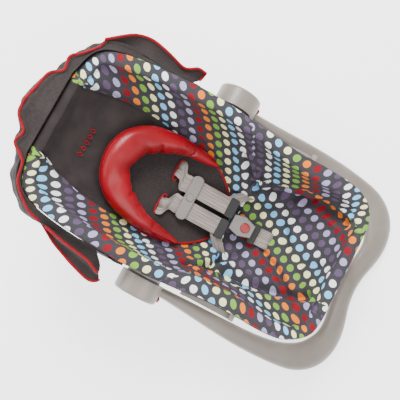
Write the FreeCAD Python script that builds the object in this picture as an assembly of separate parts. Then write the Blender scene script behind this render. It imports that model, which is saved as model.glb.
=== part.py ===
"""Infant car seat carrier with a swinging carry handle, folding hood and five-point harness.

X runs from the head end to the foot end, Y to the child's left, Z up. All sizes are in millimetres.
The seat is stored on level ground with its handle swung down in front of the foot end.
"""
import FreeCAD, Part
import math
import os

V = FreeCAD.Vector
os.makedirs("parts", exist_ok=True)

# ---------------------------------------------------------------- driving dimensions
SHELL_LENGTH = 612.0
SHELL_HALF_WIDTH = 172.0        # inside the shell at its widest, beside the handle hubs
HEAD_RIM_HEIGHT = 328.0
FOOT_RIM_HEIGHT = 204.0
SEAT_LOW_HEIGHT = 70.0          # lowest point of the bucket's inner face
SHELL_WALL = 4.0
BUCKET_FULLNESS = 2.35          # exponent of the bucket's cross section, 2 is an ellipse

PAD_GAP = 1.0
PAD_THICKNESS = 19.0
SOFT_GAP = 0.6                  # air between soft pieces that lie on each other
INSERT_THICKNESS = 9.0
INSERT_EDGE = 3.0
INSERT_LENGTH = 248.0
INSERT_HALF_WIDTH = 110.0
PILLOW_RADIUS = 30.0
PILLOW_FLATNESS = 0.78

HUB_FROM_HEAD = 276.0           # handle pivot, measured from the head end of the rim
HUB_HEIGHT = 232.0
HUB_RADIUS = 43.0
BOSS_RADIUS = 34.0
ARM_GAP = 12.0                  # bucket's inner face to the handle arms, leaves room for the cover
CUP_DEPTH = 19.0
CUP_WALL = 5.0
CUP_WEB = 8.0
RING_BORE = 24.0
RING_DEPTH = 11.0
COVER_SEAT = 0.05
PIVOT_RADIUS = 8.0
PIVOT_CLEARANCE = 0.08
COVER_DEPTH = 19.0
COVER_WALL = 2.5

BAR_FOOT_GAP = 96.0             # foot rim to the handle bar's inner edge, along the arms
BAR_HALF_WIDTH = 27.0
GROUND_GAP = 1.5                # below the stored handle's bar
BAR_DIP = 18.0                  # how far the middle of the bar bows towards the hubs
HANDLE_HALF_THICKNESS = 13.0
HANDLE_WALL = 3.0

KNOB_RADIUS = 5.5
KNOB_REACH = 10.0
BUTTON_TRAVEL = 4.0

HOOD_PIVOT_BACK = 58.0          # hood pivot behind the handle pivot
HOOD_PIVOT_RISE = 27.0
HOOD_TILT = 18.0                # degrees, plane of the folded hood bow above level
HOOD_DROP = 62.0                # folded fabric between bow and rear hem
HOOD_GAP = 6.0
BOW_RADIUS = 2.6
BOW_CORNER = 92.0

WEBBING_WIDTH = 38.0
WEBBING_THICKNESS = 1.8
LAP_WIDTH = 30.0
ADJUSTER_WIDTH = 25.0
STRAP_SPACING = 47.0            # between the shoulder straps' centres at the chest clip
SLOT_SPACING = 88.0
SLOT_CLEARANCE = 3.0

CLIP_LENGTH = 98.0
CLIP_WIDTH = 24.0
CLIP_THICKNESS = 12.0
BUCKLE_WIDTH = 46.0
BUCKLE_LENGTH = 52.0
BUCKLE_THICKNESS = 18.0
BUCKLE_BUTTON_RADIUS = 10.5

RUNNER_SPACING = 196.0          # between the outer faces of the two runners
RUNNER_WIDTH = 26.0
RUNNER_FLAT = 200.0
RUNNER_SHIFT = -34.0
RUNNER_HEAD_SWEEP = 128.0
RUNNER_HEAD_RISE = 190.0
RUNNER_FOOT_SWEEP = 96.0
RUNNER_FOOT_RISE = 120.0

# ---------------------------------------------------------------- placing
HEAD_X = -SHELL_LENGTH / 2 - 27.0
HUB_X = HEAD_X + HUB_FROM_HEAD
ARM_FACE = SHELL_HALF_WIDTH + ARM_GAP
MID_X = HEAD_X + 0.6 * SHELL_LENGTH
UP = V(0, 0, 1)

# shape of the rim and of the centre line of the bucket's floor, as shares of its length, width and heights
RIM_ALONG = [0.0, 0.016, 0.062, 0.196, 0.425, 0.637, 0.784, 0.902, 0.977, 1.0]
RIM_ACROSS = [0.48, 0.70, 0.865, 0.965, 1.0, 0.935, 0.935, 0.925, 0.79, 0.50]
RIM_DROP = [0.0, 0.01, 0.025, 0.10, 0.275, 0.516, 0.71, 0.863, 0.96, 1.0]
FLOOR_ALONG = [0.0, 0.010, 0.049, 0.18, 0.408, 0.629, 0.781, 0.902, 0.974, 1.0]
FLOOR_SINK = [0.0, 0.108, 0.256, 0.527, 0.837, 1.0]
FLOOR_CLIMB = [0.105, 0.403, 0.761, 1.0]


def spline(points, start=None, end=None):
    """A curve through the points, with one unit of its parameter for the whole length."""
    curve = Part.BSplineCurve()
    steps = [i / (len(points) - 1) for i in range(len(points))]
    if start is None:
        curve.interpolate(Points=points, Parameters=steps)
    else:
        curve.interpolate(Points=points, Parameters=steps, InitialTangent=start, FinalTangent=end)
    return curve


def rim_curve():
    drop = HEAD_RIM_HEIGHT - FOOT_RIM_HEIGHT
    points = []
    for along, across, low in zip(RIM_ALONG, RIM_ACROSS, RIM_DROP):
        x = HEAD_X + along * SHELL_LENGTH
        points.append(V(x, across * SHELL_HALF_WIDTH, HEAD_RIM_HEIGHT - low * drop))
    return spline(points)


def floor_curve():
    points = []
    for i, along in enumerate(FLOOR_ALONG):
        x = HEAD_X + along * SHELL_LENGTH
        if i < len(FLOOR_SINK):
            z = HEAD_RIM_HEIGHT - FLOOR_SINK[i] * (HEAD_RIM_HEIGHT - SEAT_LOW_HEIGHT)
        else:
            climb = FLOOR_CLIMB[i - len(FLOOR_SINK)]
            z = SEAT_LOW_HEIGHT + climb * (FOOT_RIM_HEIGHT - SEAT_LOW_HEIGHT)
        points.append(V(x, 0, z))
    return spline(points)


RIM = rim_curve()
FLOOR = floor_curve()


def bucket(s, turn):
    """Point on the bucket's inner face. s runs from head to foot, turn from -90 to 90 degrees across it."""
    rim = RIM.value(s)
    low = FLOOR.value(s)
    angle = math.radians(turn)
    side = math.copysign(abs(math.sin(angle)) ** (2 / BUCKET_FULLNESS), turn)
    deep = max(0.0, math.cos(angle)) ** (2 / BUCKET_FULLNESS)
    return V(rim.x + (low.x - rim.x) * deep, rim.y * side, rim.z + (low.z - rim.z) * deep)


def bucket_normal(s, turn):
    """Unit normal of the inner face, pointing into the bucket."""
    s = min(max(s, 0.02), 0.98)
    turn = min(max(turn, -87.0), 87.0)
    along = bucket(s + 0.01, turn) - bucket(s - 0.01, turn)
    across = bucket(s, turn + 2) - bucket(s, turn - 2)
    return along.cross(across).normalize()


def inside(s, turn, offset):
    """Point at a distance inwards from the bucket's inner face."""
    return bucket(s, turn) + bucket_normal(s, turn) * offset


def station(x, y):
    """The bucket's own coordinates (s, turn) below a plan position."""
    low, high = 0.02, 0.98
    for _ in range(40):
        s = (low + high) / 2
        share = min(0.999, abs(y) / RIM.value(s).y)
        turn = math.copysign(math.degrees(math.asin(share ** (BUCKET_FULLNESS / 2))), y)
        if bucket(s, turn).x < x:
            low = s
        else:
            high = s
    return s, turn


def above(x, y, offset):
    """Point over the plan position, at a distance inwards from the bucket's inner face."""
    s, turn = station(x, y)
    return inside(s, turn, offset)


def up_from(x, y):
    s, turn = station(x, y)
    return bucket_normal(s, turn)


# ---------------------------------------------------------------- solids from point grids
def patch(grid):
    surface = Part.BSplineSurface()
    surface.interpolate(grid)
    return surface


def slab(lower, upper):
    """Closed solid between two grids of points that match row for row."""
    a = patch(lower)
    b = patch(upper)
    faces = [a.toShape(), b.toShape()]
    u0, u1, v0, v1 = a.bounds()
    for make in (
        lambda s: s.uIso(s.bounds()[0]),
        lambda s: s.uIso(s.bounds()[1]),
        lambda s: s.vIso(s.bounds()[2]),
        lambda s: s.vIso(s.bounds()[3]),
    ):
        faces.append(Part.makeRuledSurface(make(a).toShape(), make(b).toShape()))
    shell = Part.makeShell(faces)
    shell.sewShape()
    solid = Part.makeSolid(shell)
    if solid.Volume < 0:
        solid.reverse()
    return solid


def evenly(points, count):
    """Points at even steps along a smooth curve through the given ones."""
    curve = Part.BSplineCurve()
    curve.interpolate(points)
    return curve.discretize(Number=count)


def ribbon(points, ends, width, thickness, count=30):
    """Flat strap along a list of points. ends are its width's directions at the first and last point."""
    path = evenly(points, count)
    wires = []
    for i, point in enumerate(path):
        share = i / (count - 1)
        ahead = path[min(i + 1, count - 1)] - path[max(i - 1, 0)]
        wide = (V(ends[0]) * (1 - share) + V(ends[1]) * share).normalize()
        side = wide * (width / 2)
        rise = ahead.cross(wide).normalize() * (thickness / 2)
        corners = [point - side - rise, point + side - rise, point + side + rise, point - side + rise]
        wires.append(Part.makePolygon(corners + corners[:1]))
    solid = Part.makeLoft(wires, True, True)
    if solid.Volume < 0:
        solid.reverse()
    return solid


def loft(centres, wides, talls, half_widths, half_heights, fullness=2.0, count=20):
    """Solid through rounded sections. Each section spans half_width along wide and half_height along tall."""
    grid = []
    for centre, wide, tall, a, b in zip(centres, wides, talls, half_widths, half_heights):
        row = []
        for k in range(count + 1):
            angle = 2 * math.pi * (k % count) / count
            c = math.copysign(abs(math.cos(angle)) ** (2 / fullness), math.cos(angle))
            s = math.copysign(abs(math.sin(angle)) ** (2 / fullness), math.sin(angle))
            row.append(centre + V(wide) * (a * c) + V(tall) * (b * s))
        grid.append(row)
    skin = patch(grid)
    u0, u1, v0, v1 = skin.bounds()
    caps = [Part.Face(Part.Wire(skin.uIso(u).toShape())) for u in (u0, u1)]
    shell = Part.makeShell([skin.toShape()] + caps)
    shell.sewShape()
    solid = Part.makeSolid(shell)
    if solid.Volume < 0:
        solid.reverse()
    return solid


def placed(shape, base, along, up):
    """Moves a shape built at the origin with X along and Z up to a new base and directions."""
    x = V(along).normalize()
    z = (V(up) - x * V(up).dot(x)).normalize()
    y = z.cross(x)
    matrix = FreeCAD.Matrix(x.x, y.x, z.x, base.x, x.y, y.y, z.y, base.y, x.z, y.z, z.z, base.z)
    moved = shape.copy()
    moved.transformShape(matrix)
    return moved


def box(length, width, height, centre=V(0, 0, 0)):
    """Box about a centre."""
    return Part.makeBox(length, width, height, centre - V(length, width, height) / 2)


def drum(radius, y_from, y_to, x=0.0, z=0.0):
    """Cylinder along Y between two planes."""
    return Part.makeCylinder(radius, abs(y_to - y_from), V(x, min(y_from, y_to), z), V(0, 1, 0))


def both_sides(shape):
    """The shape and its mirror image across the middle plane, left first."""
    return shape, shape.mirror(V(0, 0, 0), V(0, 1, 0))


def rounded_box(length, width, height, radius, edge=1.2):
    """Upright slab with round corners and softened top and bottom edges, about the origin."""
    body = box(length, width, height)
    body = body.makeFillet(radius, [e for e in body.Edges if abs(e.tangentAt(e.FirstParameter).z) > 0.9])
    rims = [e for e in body.Edges if abs(e.BoundBox.ZLength) < 1e-6]
    return body.makeFillet(edge, rims)


PARTS = {}

# ---------------------------------------------------------------- shell
GRID_S = [i / 26 for i in range(27)]
GRID_TURN = [-90 + 9 * i for i in range(21)]


def bucket_grid(offset):
    return [[inside(s, t, offset) for t in GRID_TURN] for s in GRID_S]


def space_over(offset, top):
    """Everything over the bucket's inner face, inside its rim, up to a level."""
    lower = bucket_grid(offset)
    upper = [[V(p.x, p.y, top) for p in row] for row in lower]
    return slab(lower, upper)


def through_slot(x, y, wide, length):
    """A cutter through shell and pad, wide across the seat, square to its middle line."""
    normal = up_from(x, 0)
    return placed(box(length, wide, 130.0), above(x, y, 0), V(normal.z, 0, -normal.x), normal)


SLOT_X = HUB_X - 62.0
SLOT_Y = SLOT_SPACING / 2
SLOT_LENGTH = WEBBING_THICKNESS + 2 * SLOT_CLEARANCE
SLOT_WIDTH = WEBBING_WIDTH + 2 * SLOT_CLEARANCE
SLOT_STEP = 48.0
CROTCH_X = HUB_X + 200.0
HIP_X = HUB_X + 104.0
HIP_Y = 78.0
HIP_SLOT = WEBBING_WIDTH + 2 * SLOT_CLEARANCE


def harness_slots(extra=True):
    rows = [SLOT_X, SLOT_X - SLOT_STEP, SLOT_X + SLOT_STEP] if extra else [SLOT_X]
    cutters = []
    for x in rows:
        for side in (1, -1):
            cutters.append(through_slot(x, side * SLOT_Y, SLOT_WIDTH, SLOT_LENGTH))
    cutters.append(through_slot(CROTCH_X, 0, SLOT_WIDTH, SLOT_LENGTH + 5.0))
    for side in (1, -1):
        normal = up_from(HIP_X, side * HIP_Y)
        cutter = box(HIP_SLOT, SLOT_LENGTH, 130.0)
        cutters.append(placed(cutter, above(HIP_X, side * HIP_Y, 0), V(1, 0, 0), normal))
    return cutters


def runner_profile(inset):
    """Side outline of a runner: flat in the middle, swept up towards the shell at both ends."""
    middle = MID_X + RUNNER_SHIFT
    flat = RUNNER_FLAT / 2
    low = inset
    ends = []
    for way, length, rise in ((-1, RUNNER_HEAD_SWEEP, RUNNER_HEAD_RISE), (1, RUNNER_FOOT_SWEEP, RUNNER_FOOT_RISE)):
        far = middle + way * (flat + length - inset)
        near = middle + way * flat
        curve = Part.BezierCurve()
        curve.setPoles([V(near, 0, low), V(near + way * length * 0.6, 0, low), V(far, 0, rise * 0.4), V(far, 0, rise)])
        ends.append((curve, V(near, 0, low), V(far, 0, rise), V(far, 0, HEAD_RIM_HEIGHT)))
    head, foot = ends
    edges = [
        head[0].toShape(),
        Part.LineSegment(head[1], foot[1]).toShape(),
        foot[0].toShape(),
        Part.LineSegment(foot[2], foot[3]).toShape(),
        Part.LineSegment(foot[3], head[3]).toShape(),
        Part.LineSegment(head[3], head[2]).toShape(),
    ]
    return Part.Face(Part.Wire(Part.__sortEdges__(edges)))


def runner():
    """Left runner: an upright web with a foot flange and end walls, open on its inner side."""
    outer = runner_profile(0.0).extrude(V(0, RUNNER_WIDTH, 0))
    hollow = runner_profile(SHELL_WALL).extrude(V(0, RUNNER_WIDTH, 0))
    inner_face = RUNNER_SPACING / 2 - RUNNER_WIDTH
    outer.translate(V(0, inner_face, 0))
    hollow.translate(V(0, inner_face - SHELL_WALL, 0))
    return outer.cut(hollow)


HUB_Z = HUB_HEIGHT
HOOD_X = HUB_X - HOOD_PIVOT_BACK
HOOD_Z = HUB_Z + HOOD_PIVOT_RISE
HOOD_BOSS_RADIUS = 12.0
HOOD_FACE = ARM_FACE - 6.4
BOSS_FACE = ARM_FACE - 4.0
GUIDE_LENGTH = 112.0
GUIDE_X = HUB_X + 76.0
GUIDE_FACE = ARM_FACE - 5.0
GUIDE_POST = 9.0
GUIDE_RISE = 24.0


def belt_guide():
    """Left guide for the vehicle's lap belt: a ledge on the shell's side with a post at each end."""
    low = RIM.value(station(GUIDE_X + GUIDE_LENGTH / 2, 0)[0]).z - 46.0
    mid = GUIDE_X + GUIDE_LENGTH / 2
    ledge = box(GUIDE_LENGTH, 40.0, 7.0, V(mid, GUIDE_FACE - 20.0, low))
    solid = ledge
    for x in (GUIDE_X + GUIDE_POST / 2, GUIDE_X + GUIDE_LENGTH - GUIDE_POST / 2):
        post = box(GUIDE_POST, 40.0, GUIDE_RISE, V(x, GUIDE_FACE - 20.0, low + GUIDE_RISE / 2))
        solid = solid.fuse(post)
    return solid.removeSplitter()


def seat_shell():
    body = slab(bucket_grid(0.0), bucket_grid(-SHELL_WALL))
    keep_out = space_over(-SHELL_WALL / 2, HEAD_RIM_HEIGHT + 200.0)
    boss = drum(BOSS_RADIUS, 120.0, BOSS_FACE, HUB_X, HUB_Z)
    hood_boss = drum(HOOD_BOSS_RADIUS, 120.0, HOOD_FACE, HOOD_X, HOOD_Z)
    added = []
    for piece in (boss, hood_boss, belt_guide(), runner()):
        for half in both_sides(piece):
            added.append(half.cut(keep_out))
    for x in (MID_X - 228.0, MID_X + 72.0):
        rib = box(SHELL_WALL, RUNNER_SPACING - 2 * SHELL_WALL + 1.0, 200.0, V(x, 0, 122.0))
        notch = box(3 * SHELL_WALL, WEBBING_WIDTH + 8.0, 100.0, V(x, 0, above(x, 0, 0).z - SHELL_WALL - 58.0))
        reach = runner_profile(0.0).extrude(V(0, RUNNER_SPACING, 0))
        reach.translate(V(0, -RUNNER_SPACING / 2, 0))
        added.append(rib.common(reach).cut(keep_out).cut(notch))
    body = body.fuse(added)
    bore_y = 100.0
    for side in (1, -1):
        body = body.cut(drum(PIVOT_THREAD, side * bore_y, side * 300.0, HUB_X, HUB_Z))
        body = body.cut(drum(HOOD_PIN, side * bore_y, side * 300.0, HOOD_X, HOOD_Z))
    for cutter in harness_slots():
        body = body.cut(cutter)
    solids = sorted(body.Solids, key=lambda s: -s.Volume)
    return solids[0]


PIVOT_THREAD = 5.0
HOOD_PIN = 3.5
PARTS["seat_shell"] = seat_shell()


# ---------------------------------------------------------------- soft goods
def seat_pad():
    body = slab(bucket_grid(PAD_GAP), bucket_grid(PAD_GAP + PAD_THICKNESS))
    for cutter in harness_slots(extra=False):
        body = body.cut(cutter)
    return max(body.Solids, key=lambda s: s.Volume)


PAD_TOP = PAD_GAP + PAD_THICKNESS
INSERT_X = HUB_X - 46.0
INSERT_BASE = PAD_TOP + SOFT_GAP


def disc_grid(offset_at):
    steps = [-1 + 2 * i / 14 for i in range(15)]
    grid = []
    for u in steps:
        row = []
        for v in steps:
            x = INSERT_X + INSERT_LENGTH / 2 * u * math.sqrt(1 - v * v / 2)
            y = INSERT_HALF_WIDTH * v * math.sqrt(1 - u * u / 2)
            out = math.hypot((x - INSERT_X) / (INSERT_LENGTH / 2), y / INSERT_HALF_WIDTH)
            row.append(above(x, y, offset_at(out)))
        grid.append(row)
    return grid


def insert_top(out):
    crown = max(0.0, 1 - (out / 0.72) ** 2)
    return INSERT_BASE + INSERT_EDGE + (INSERT_THICKNESS - INSERT_EDGE) * crown


def body_insert():
    solid = slab(disc_grid(lambda out: INSERT_BASE), disc_grid(insert_top))
    for side in (1, -1):
        solid = solid.cut(through_slot(SLOT_X, side * SLOT_Y, SLOT_WIDTH, SLOT_LENGTH))
    return max(solid.Solids, key=lambda s: s.Volume)


# horseshoe centre line: distance behind the insert's middle, share of its half width, share of the full radius
PILLOW_PATH = [
    (-60.0, 0.97, 0.14), (-34.0, 0.955, 0.30), (2.0, 0.90, 0.50), (42.0, 0.81, 0.70),
    (84.0, 0.62, 0.90), (112.0, 0.33, 0.98), (121.0, 0.0, 1.0),
]


def head_pillow():
    run = [(b, w, r) for b, w, r in PILLOW_PATH]
    run += [(b, -w, r) for b, w, r in reversed(PILLOW_PATH[:-1])]
    plan = [V(INSERT_X - b, w * INSERT_HALF_WIDTH, 0) for b, w, r in run]
    centres = []
    wides = []
    talls = []
    for i, (point, (_, _, share)) in enumerate(zip(plan, run)):
        half_height = PILLOW_RADIUS * PILLOW_FLATNESS * share
        lift = INSERT_BASE + INSERT_EDGE + SOFT_GAP + half_height + 2.0
        centres.append(above(point.x, point.y, lift))
        talls.append(up_from(point.x, point.y))
    for i, tall in enumerate(talls):
        ahead = centres[min(i + 1, len(run) - 1)] - centres[max(i - 1, 0)]
        wides.append(ahead.cross(tall).normalize())
    half_widths = [PILLOW_RADIUS * r for _, _, r in run]
    half_heights = [PILLOW_RADIUS * PILLOW_FLATNESS * r for _, _, r in run]
    talls = [w.cross((centres[min(i + 1, len(run) - 1)] - centres[max(i - 1, 0)])).normalize() * -1
             for i, w in enumerate(wides)]
    return loft(centres, wides, talls, half_widths, half_heights)


PARTS["seat_pad"] = seat_pad()
PARTS["body_insert"] = body_insert()
PARTS["head_pillow"] = head_pillow()

# ---------------------------------------------------------------- harness
STRAP_Y = STRAP_SPACING / 2
CLIP_ON_RUN = 28.0
CLIP_X = HUB_X - 4.0
TONGUE_X = HUB_X + 63.0
CHEST_LIFT = INSERT_BASE + INSERT_THICKNESS + 9.0
LAP_LIFT = PAD_TOP + 33.0
ACROSS = V(0, 1, 0)

CHEST_POINT = above(CLIP_X - 40.0, STRAP_Y, CHEST_LIFT)
LAP_POINT = above(TONGUE_X, STRAP_Y, LAP_LIFT)
RUN = V(LAP_POINT.x - CHEST_POINT.x, 0, LAP_POINT.z - CHEST_POINT.z)
RUN_LENGTH = RUN.Length
RUN = RUN.normalize()
RUN_UP = V(-RUN.z, 0, RUN.x)


def on_run(distance, y=0.0, lift=0.0):
    """Point on the straight stretch of the harness below the chest clip."""
    return V(CHEST_POINT.x, y, CHEST_POINT.z) + RUN * distance + RUN_UP * lift


def shoulder_strap(side):
    """Webbing from the rear yoke through the back slot and down to the buckle's tongue."""
    slot = above(SLOT_X, side * SLOT_Y, 0)
    normal = up_from(SLOT_X, 0)
    down = V(normal.z, 0, -normal.x)
    outside = SHELL_WALL + BACK_RUN_DROP
    top = INSERT_BASE + INSERT_THICKNESS
    route = [
        (YOKE_FROM_SLOT - 22.0, -outside, 0.0), (42.0, -outside, 0.45), (24.0, -outside, 0.8),
        (11.0, -outside + 0.5, 0.97), (2.5, -outside + 5.0, 1.0), (0.0, -SHELL_WALL + 3.0, 1.0),
        (0.0, top * 0.5, 1.0), (0.0, top - 4.0, 1.0), (2.5, top + 4.5, 1.0),
    ]
    path = []
    for along, rise, share in route:
        point = slot + normal * rise + down * along
        path.append(V(point.x, side * (YOKE_Y + (SLOT_Y - YOKE_Y) * share), point.z))
    crest = slot + normal * (top + 9.5) + down * 10.0
    path.append(V(crest.x, side * (0.8 * SLOT_Y + 0.2 * STRAP_Y), crest.z))
    stretch = RUN_LENGTH + TONGUE_DEPTH * 0.55
    for k in range(11):
        path.append(on_run(stretch * k / 10, side * STRAP_Y))
    return ribbon(path, [ACROSS, ACROSS], WEBBING_WIDTH, WEBBING_THICKNESS, 46)


YOKE_Y = 22.0
YOKE_FROM_SLOT = 81.0
BACK_RUN_DROP = 9.0
TONGUE_THICKNESS = 7.0
TONGUE_DEPTH = 20.0


def tongue(side):
    """Cover with the webbing's loop, and a flat blade that enters the buckle."""
    cover = rounded_box(TONGUE_DEPTH, WEBBING_WIDTH + 5.0, TONGUE_THICKNESS, 5.0)
    pocket = box(TONGUE_DEPTH, WEBBING_WIDTH + 1.0, WEBBING_THICKNESS + 0.6, V(-TONGUE_DEPTH * 0.36, 0, 0))
    cover = cover.cut(pocket)
    blade = box(22.0, 12.0, 2.4, V(TONGUE_DEPTH / 2 + 9.0, -side * 12.0, 0))
    return cover.fuse(blade).removeSplitter()


def harness():
    straps = {}
    straps["shoulder_strap_left"] = shoulder_strap(1)
    straps["shoulder_strap_right"] = shoulder_strap(-1)
    return straps


PARTS.update(harness())


def buckle_tongue(side):
    base = on_run(RUN_LENGTH + TONGUE_DEPTH / 2 + 1.0, side * (STRAP_Y + 0.5))
    return placed(tongue(side), base, RUN, RUN_UP)


def buckle_outline(scale=1.0):
    """Six-sided outline, pointing along X."""
    half = BUCKLE_LENGTH / 2 * scale
    wide = BUCKLE_WIDTH / 2 * scale
    points = [
        V(-half, -wide * 0.72, 0), V(-half * 0.1, -wide, 0), V(half, -wide * 0.62, 0),
        V(half, wide * 0.62, 0), V(-half * 0.1, wide, 0), V(-half, wide * 0.72, 0), V(-half, -wide * 0.72, 0),
    ]
    return Part.Face(Part.makePolygon(points))


FACE_THICKNESS = 5.0
BUTTON_TRAVEL_BUCKLE = 3.0
SPRING_WIRE = 0.5
BUCKLE_SPRING_WIRE = 0.8


def prism(face, z_from, z_to):
    body = face.extrude(V(0, 0, z_to - z_from))
    body.translate(V(0, 0, z_from))
    return body


def buckle_parts():
    """Dark lower housing with the tongue slot, lighter face with the button's hole, button and spring."""
    low = -BUCKLE_THICKNESS / 2
    face_low = BUCKLE_THICKNESS / 2 - FACE_THICKNESS
    housing = prism(buckle_outline(), low, face_low)
    mouth = box(26.0, 40.0, 3.4, V(-BUCKLE_LENGTH / 2 + 7.0, 0, 0))
    pocket = Part.makeCylinder(BUCKLE_BUTTON_RADIUS + 0.4, 40.0, V(6.0, 0, -6.5))
    housing = housing.cut(mouth.fuse(pocket))
    lug = rounded_box(18.0, WEBBING_WIDTH + 7.0, 8.0, 4.0)
    lug.translate(V(BUCKLE_LENGTH / 2 + 6.0, 0, low + 4.0))
    slot = box(18.0, WEBBING_WIDTH + 1.0, WEBBING_THICKNESS + 1.6, V(BUCKLE_LENGTH / 2 + 16.0, 0, low + 4.0))
    housing = housing.fuse(lug).cut(slot)
    face = prism(buckle_outline(0.96), face_low, face_low + FACE_THICKNESS)
    rims = [e for e in face.Edges if abs(e.BoundBox.ZMin - face_low - FACE_THICKNESS) < 1e-6]
    face = face.makeFillet(2.0, rims)
    hole = Part.makeCylinder(BUCKLE_BUTTON_RADIUS + 0.4, 40.0, V(6.0, 0, face_low - 10.0))
    face = face.cut(hole)
    button_low = 0.5
    button_top = BUCKLE_THICKNESS / 2 + 1.6
    button = Part.makeCylinder(BUCKLE_BUTTON_RADIUS, button_top - button_low, V(6.0, 0, button_low))
    top = [e for e in button.Edges if abs(e.BoundBox.ZMin - button_top) < 1e-6 and e.BoundBox.ZLength < 1e-6]
    button = button.makeFillet(1.4, top)
    spring = coil(3.6, 5.2, 3, V(6.0, 0, -6.4), BUCKLE_SPRING_WIRE)
    return {
        "buckle_housing": housing.removeSplitter(),
        "buckle_face": face,
        "buckle_button": button,
        "buckle_spring": spring,
    }


def coil(radius, height, turns, base, wire=SPRING_WIRE):
    """Compression spring of round wire, standing along Z from its base."""
    helix = Part.makeHelix(height / turns, height, radius)
    ring = Part.Wire(Part.makeCircle(wire, V(radius, 0, 0), V(0, 1, 0)))
    body = Part.Wire(helix).makePipeShell([ring], True, True)
    body.translate(base + V(0, 0, wire))
    return body


BUCKLE_AT = on_run(RUN_LENGTH + TONGUE_DEPTH + 2.0 + BUCKLE_LENGTH / 2, 0.0)
BUCKLE_ALONG = RUN
BUCKLE_UP = RUN_UP
for name, solid in buckle_parts().items():
    PARTS[name] = placed(solid, BUCKLE_AT, BUCKLE_ALONG, BUCKLE_UP)
PARTS["buckle_tongue_left"] = buckle_tongue(1)
PARTS["buckle_tongue_right"] = buckle_tongue(-1)


def crotch_strap():
    """Webbing from the buckle's lug down through the seat to its anchor plate."""
    lug = BUCKLE_AT + BUCKLE_ALONG * (BUCKLE_LENGTH / 2 + 8.0) - BUCKLE_UP * (BUCKLE_THICKNESS / 2 - 4.0)
    root = above(CROTCH_X, 0, 0)
    normal = up_from(CROTCH_X, 0)
    down = V(normal.z, 0, -normal.x)
    turn = root + normal * (PAD_TOP + 6.0) - down * 5.0
    path = [lug, lug + BUCKLE_ALONG * 4.0, lug + BUCKLE_ALONG * 9.0, lug + BUCKLE_ALONG * 14.0]
    path.append((lug + BUCKLE_ALONG * 14.0) * 0.5 + turn * 0.5 + normal * 1.0)
    path += [turn, root + normal * (PAD_TOP - 2.0), root + normal * (PAD_TOP / 2), root]
    path.append(root - normal * (SHELL_WALL + 4.6))
    return ribbon(path, [ACROSS, ACROSS], WEBBING_WIDTH, WEBBING_THICKNESS, 26)


def hip_strap(side):
    """Webbing from below the tongue down through the pad beside the hip."""
    root = above(HIP_X, side * HIP_Y, 0)
    normal = up_from(HIP_X, side * HIP_Y)
    low = TONGUE_THICKNESS / 2 + 0.4 + WEBBING_THICKNESS / 2
    y = side * (STRAP_Y + WEBBING_WIDTH / 2 - 3.0)
    start = on_run(RUN_LENGTH + TONGUE_DEPTH / 2 + 1.0, y, -low)
    path = [start, start + V(0, side * 5.0, 0) - RUN_UP * 0.3]
    over = root + normal * (PAD_TOP + 3.0)
    path.append(V((start.x + over.x) / 2, start.y * 0.4 + over.y * 0.6, (start.z + over.z) / 2 + 2.0))
    path += [over, root + normal * (PAD_TOP - 6.0), root + normal * (PAD_TOP / 2), root]
    path.append(root - normal * (SHELL_WALL + 4.6))
    return ribbon(path, [RUN, V(1, 0, 0)], LAP_WIDTH, WEBBING_THICKNESS, 22)


PARTS["crotch_strap"] = crotch_strap()
PARTS["hip_strap_left"] = hip_strap(1)
PARTS["hip_strap_right"] = hip_strap(-1)


def anchor_plate(x, y, along):
    """Steel plate below the shell that keeps a strap's end."""
    root = above(x, y, 0)
    normal = up_from(x, y)
    plate = rounded_box(24.0, WEBBING_WIDTH + 16.0, 2.5, 5.0, 0.6)
    return placed(plate, root - normal * (SHELL_WALL + 6.6), along, normal)


PARTS["crotch_anchor"] = anchor_plate(CROTCH_X, 0, V(1, 0, 0))
for side, name in ((1, "hip_anchor_left"), (-1, "hip_anchor_right")):
    plate = rounded_box(WEBBING_WIDTH + 16.0, 24.0, 2.5, 5.0, 0.6)
    normal = up_from(HIP_X, side * HIP_Y)
    PARTS[name] = placed(plate, above(HIP_X, side * HIP_Y, 0) - normal * (SHELL_WALL + 6.6), V(1, 0, 0), normal)


def splitter_plate():
    """Steel yoke behind the back that joins both shoulder straps to the adjuster strap."""
    slot = above(SLOT_X, 0, 0)
    normal = up_from(SLOT_X, 0)
    back = V(normal.z, 0, -normal.x)
    plate = rounded_box(44.0, 2 * YOKE_Y + WEBBING_WIDTH + 12.0, 6.0, 7.0, 0.8)
    pocket = box(40.0, 2 * YOKE_Y + WEBBING_WIDTH + 1.0, WEBBING_THICKNESS + 0.6, V(-22.0, 0, 0))
    tail = box(40.0, ADJUSTER_WIDTH + 1.0, WEBBING_THICKNESS + 0.6, V(25.0, 0, 0))
    plate = plate.cut(pocket.fuse(tail))
    return placed(plate, slot - normal * (SHELL_WALL + BACK_RUN_DROP) + back * YOKE_FROM_SLOT, back, normal)


PARTS["harness_yoke"] = splitter_plate()

ADJUSTER_X = HUB_X + 286.0
ADJUSTER_DROP = 16.0
STRAP_IN_CAM = -3.9


def adjuster_place():
    """Base point of the adjuster, its direction towards the foot end and its upright direction."""
    along = (above(ADJUSTER_X + 8.0, 0, 0) - above(ADJUSTER_X - 8.0, 0, 0)).normalize()
    normal = V(-along.z, 0, along.x)
    return above(ADJUSTER_X, 0, -SHELL_WALL - ADJUSTER_DROP), along, normal


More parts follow.
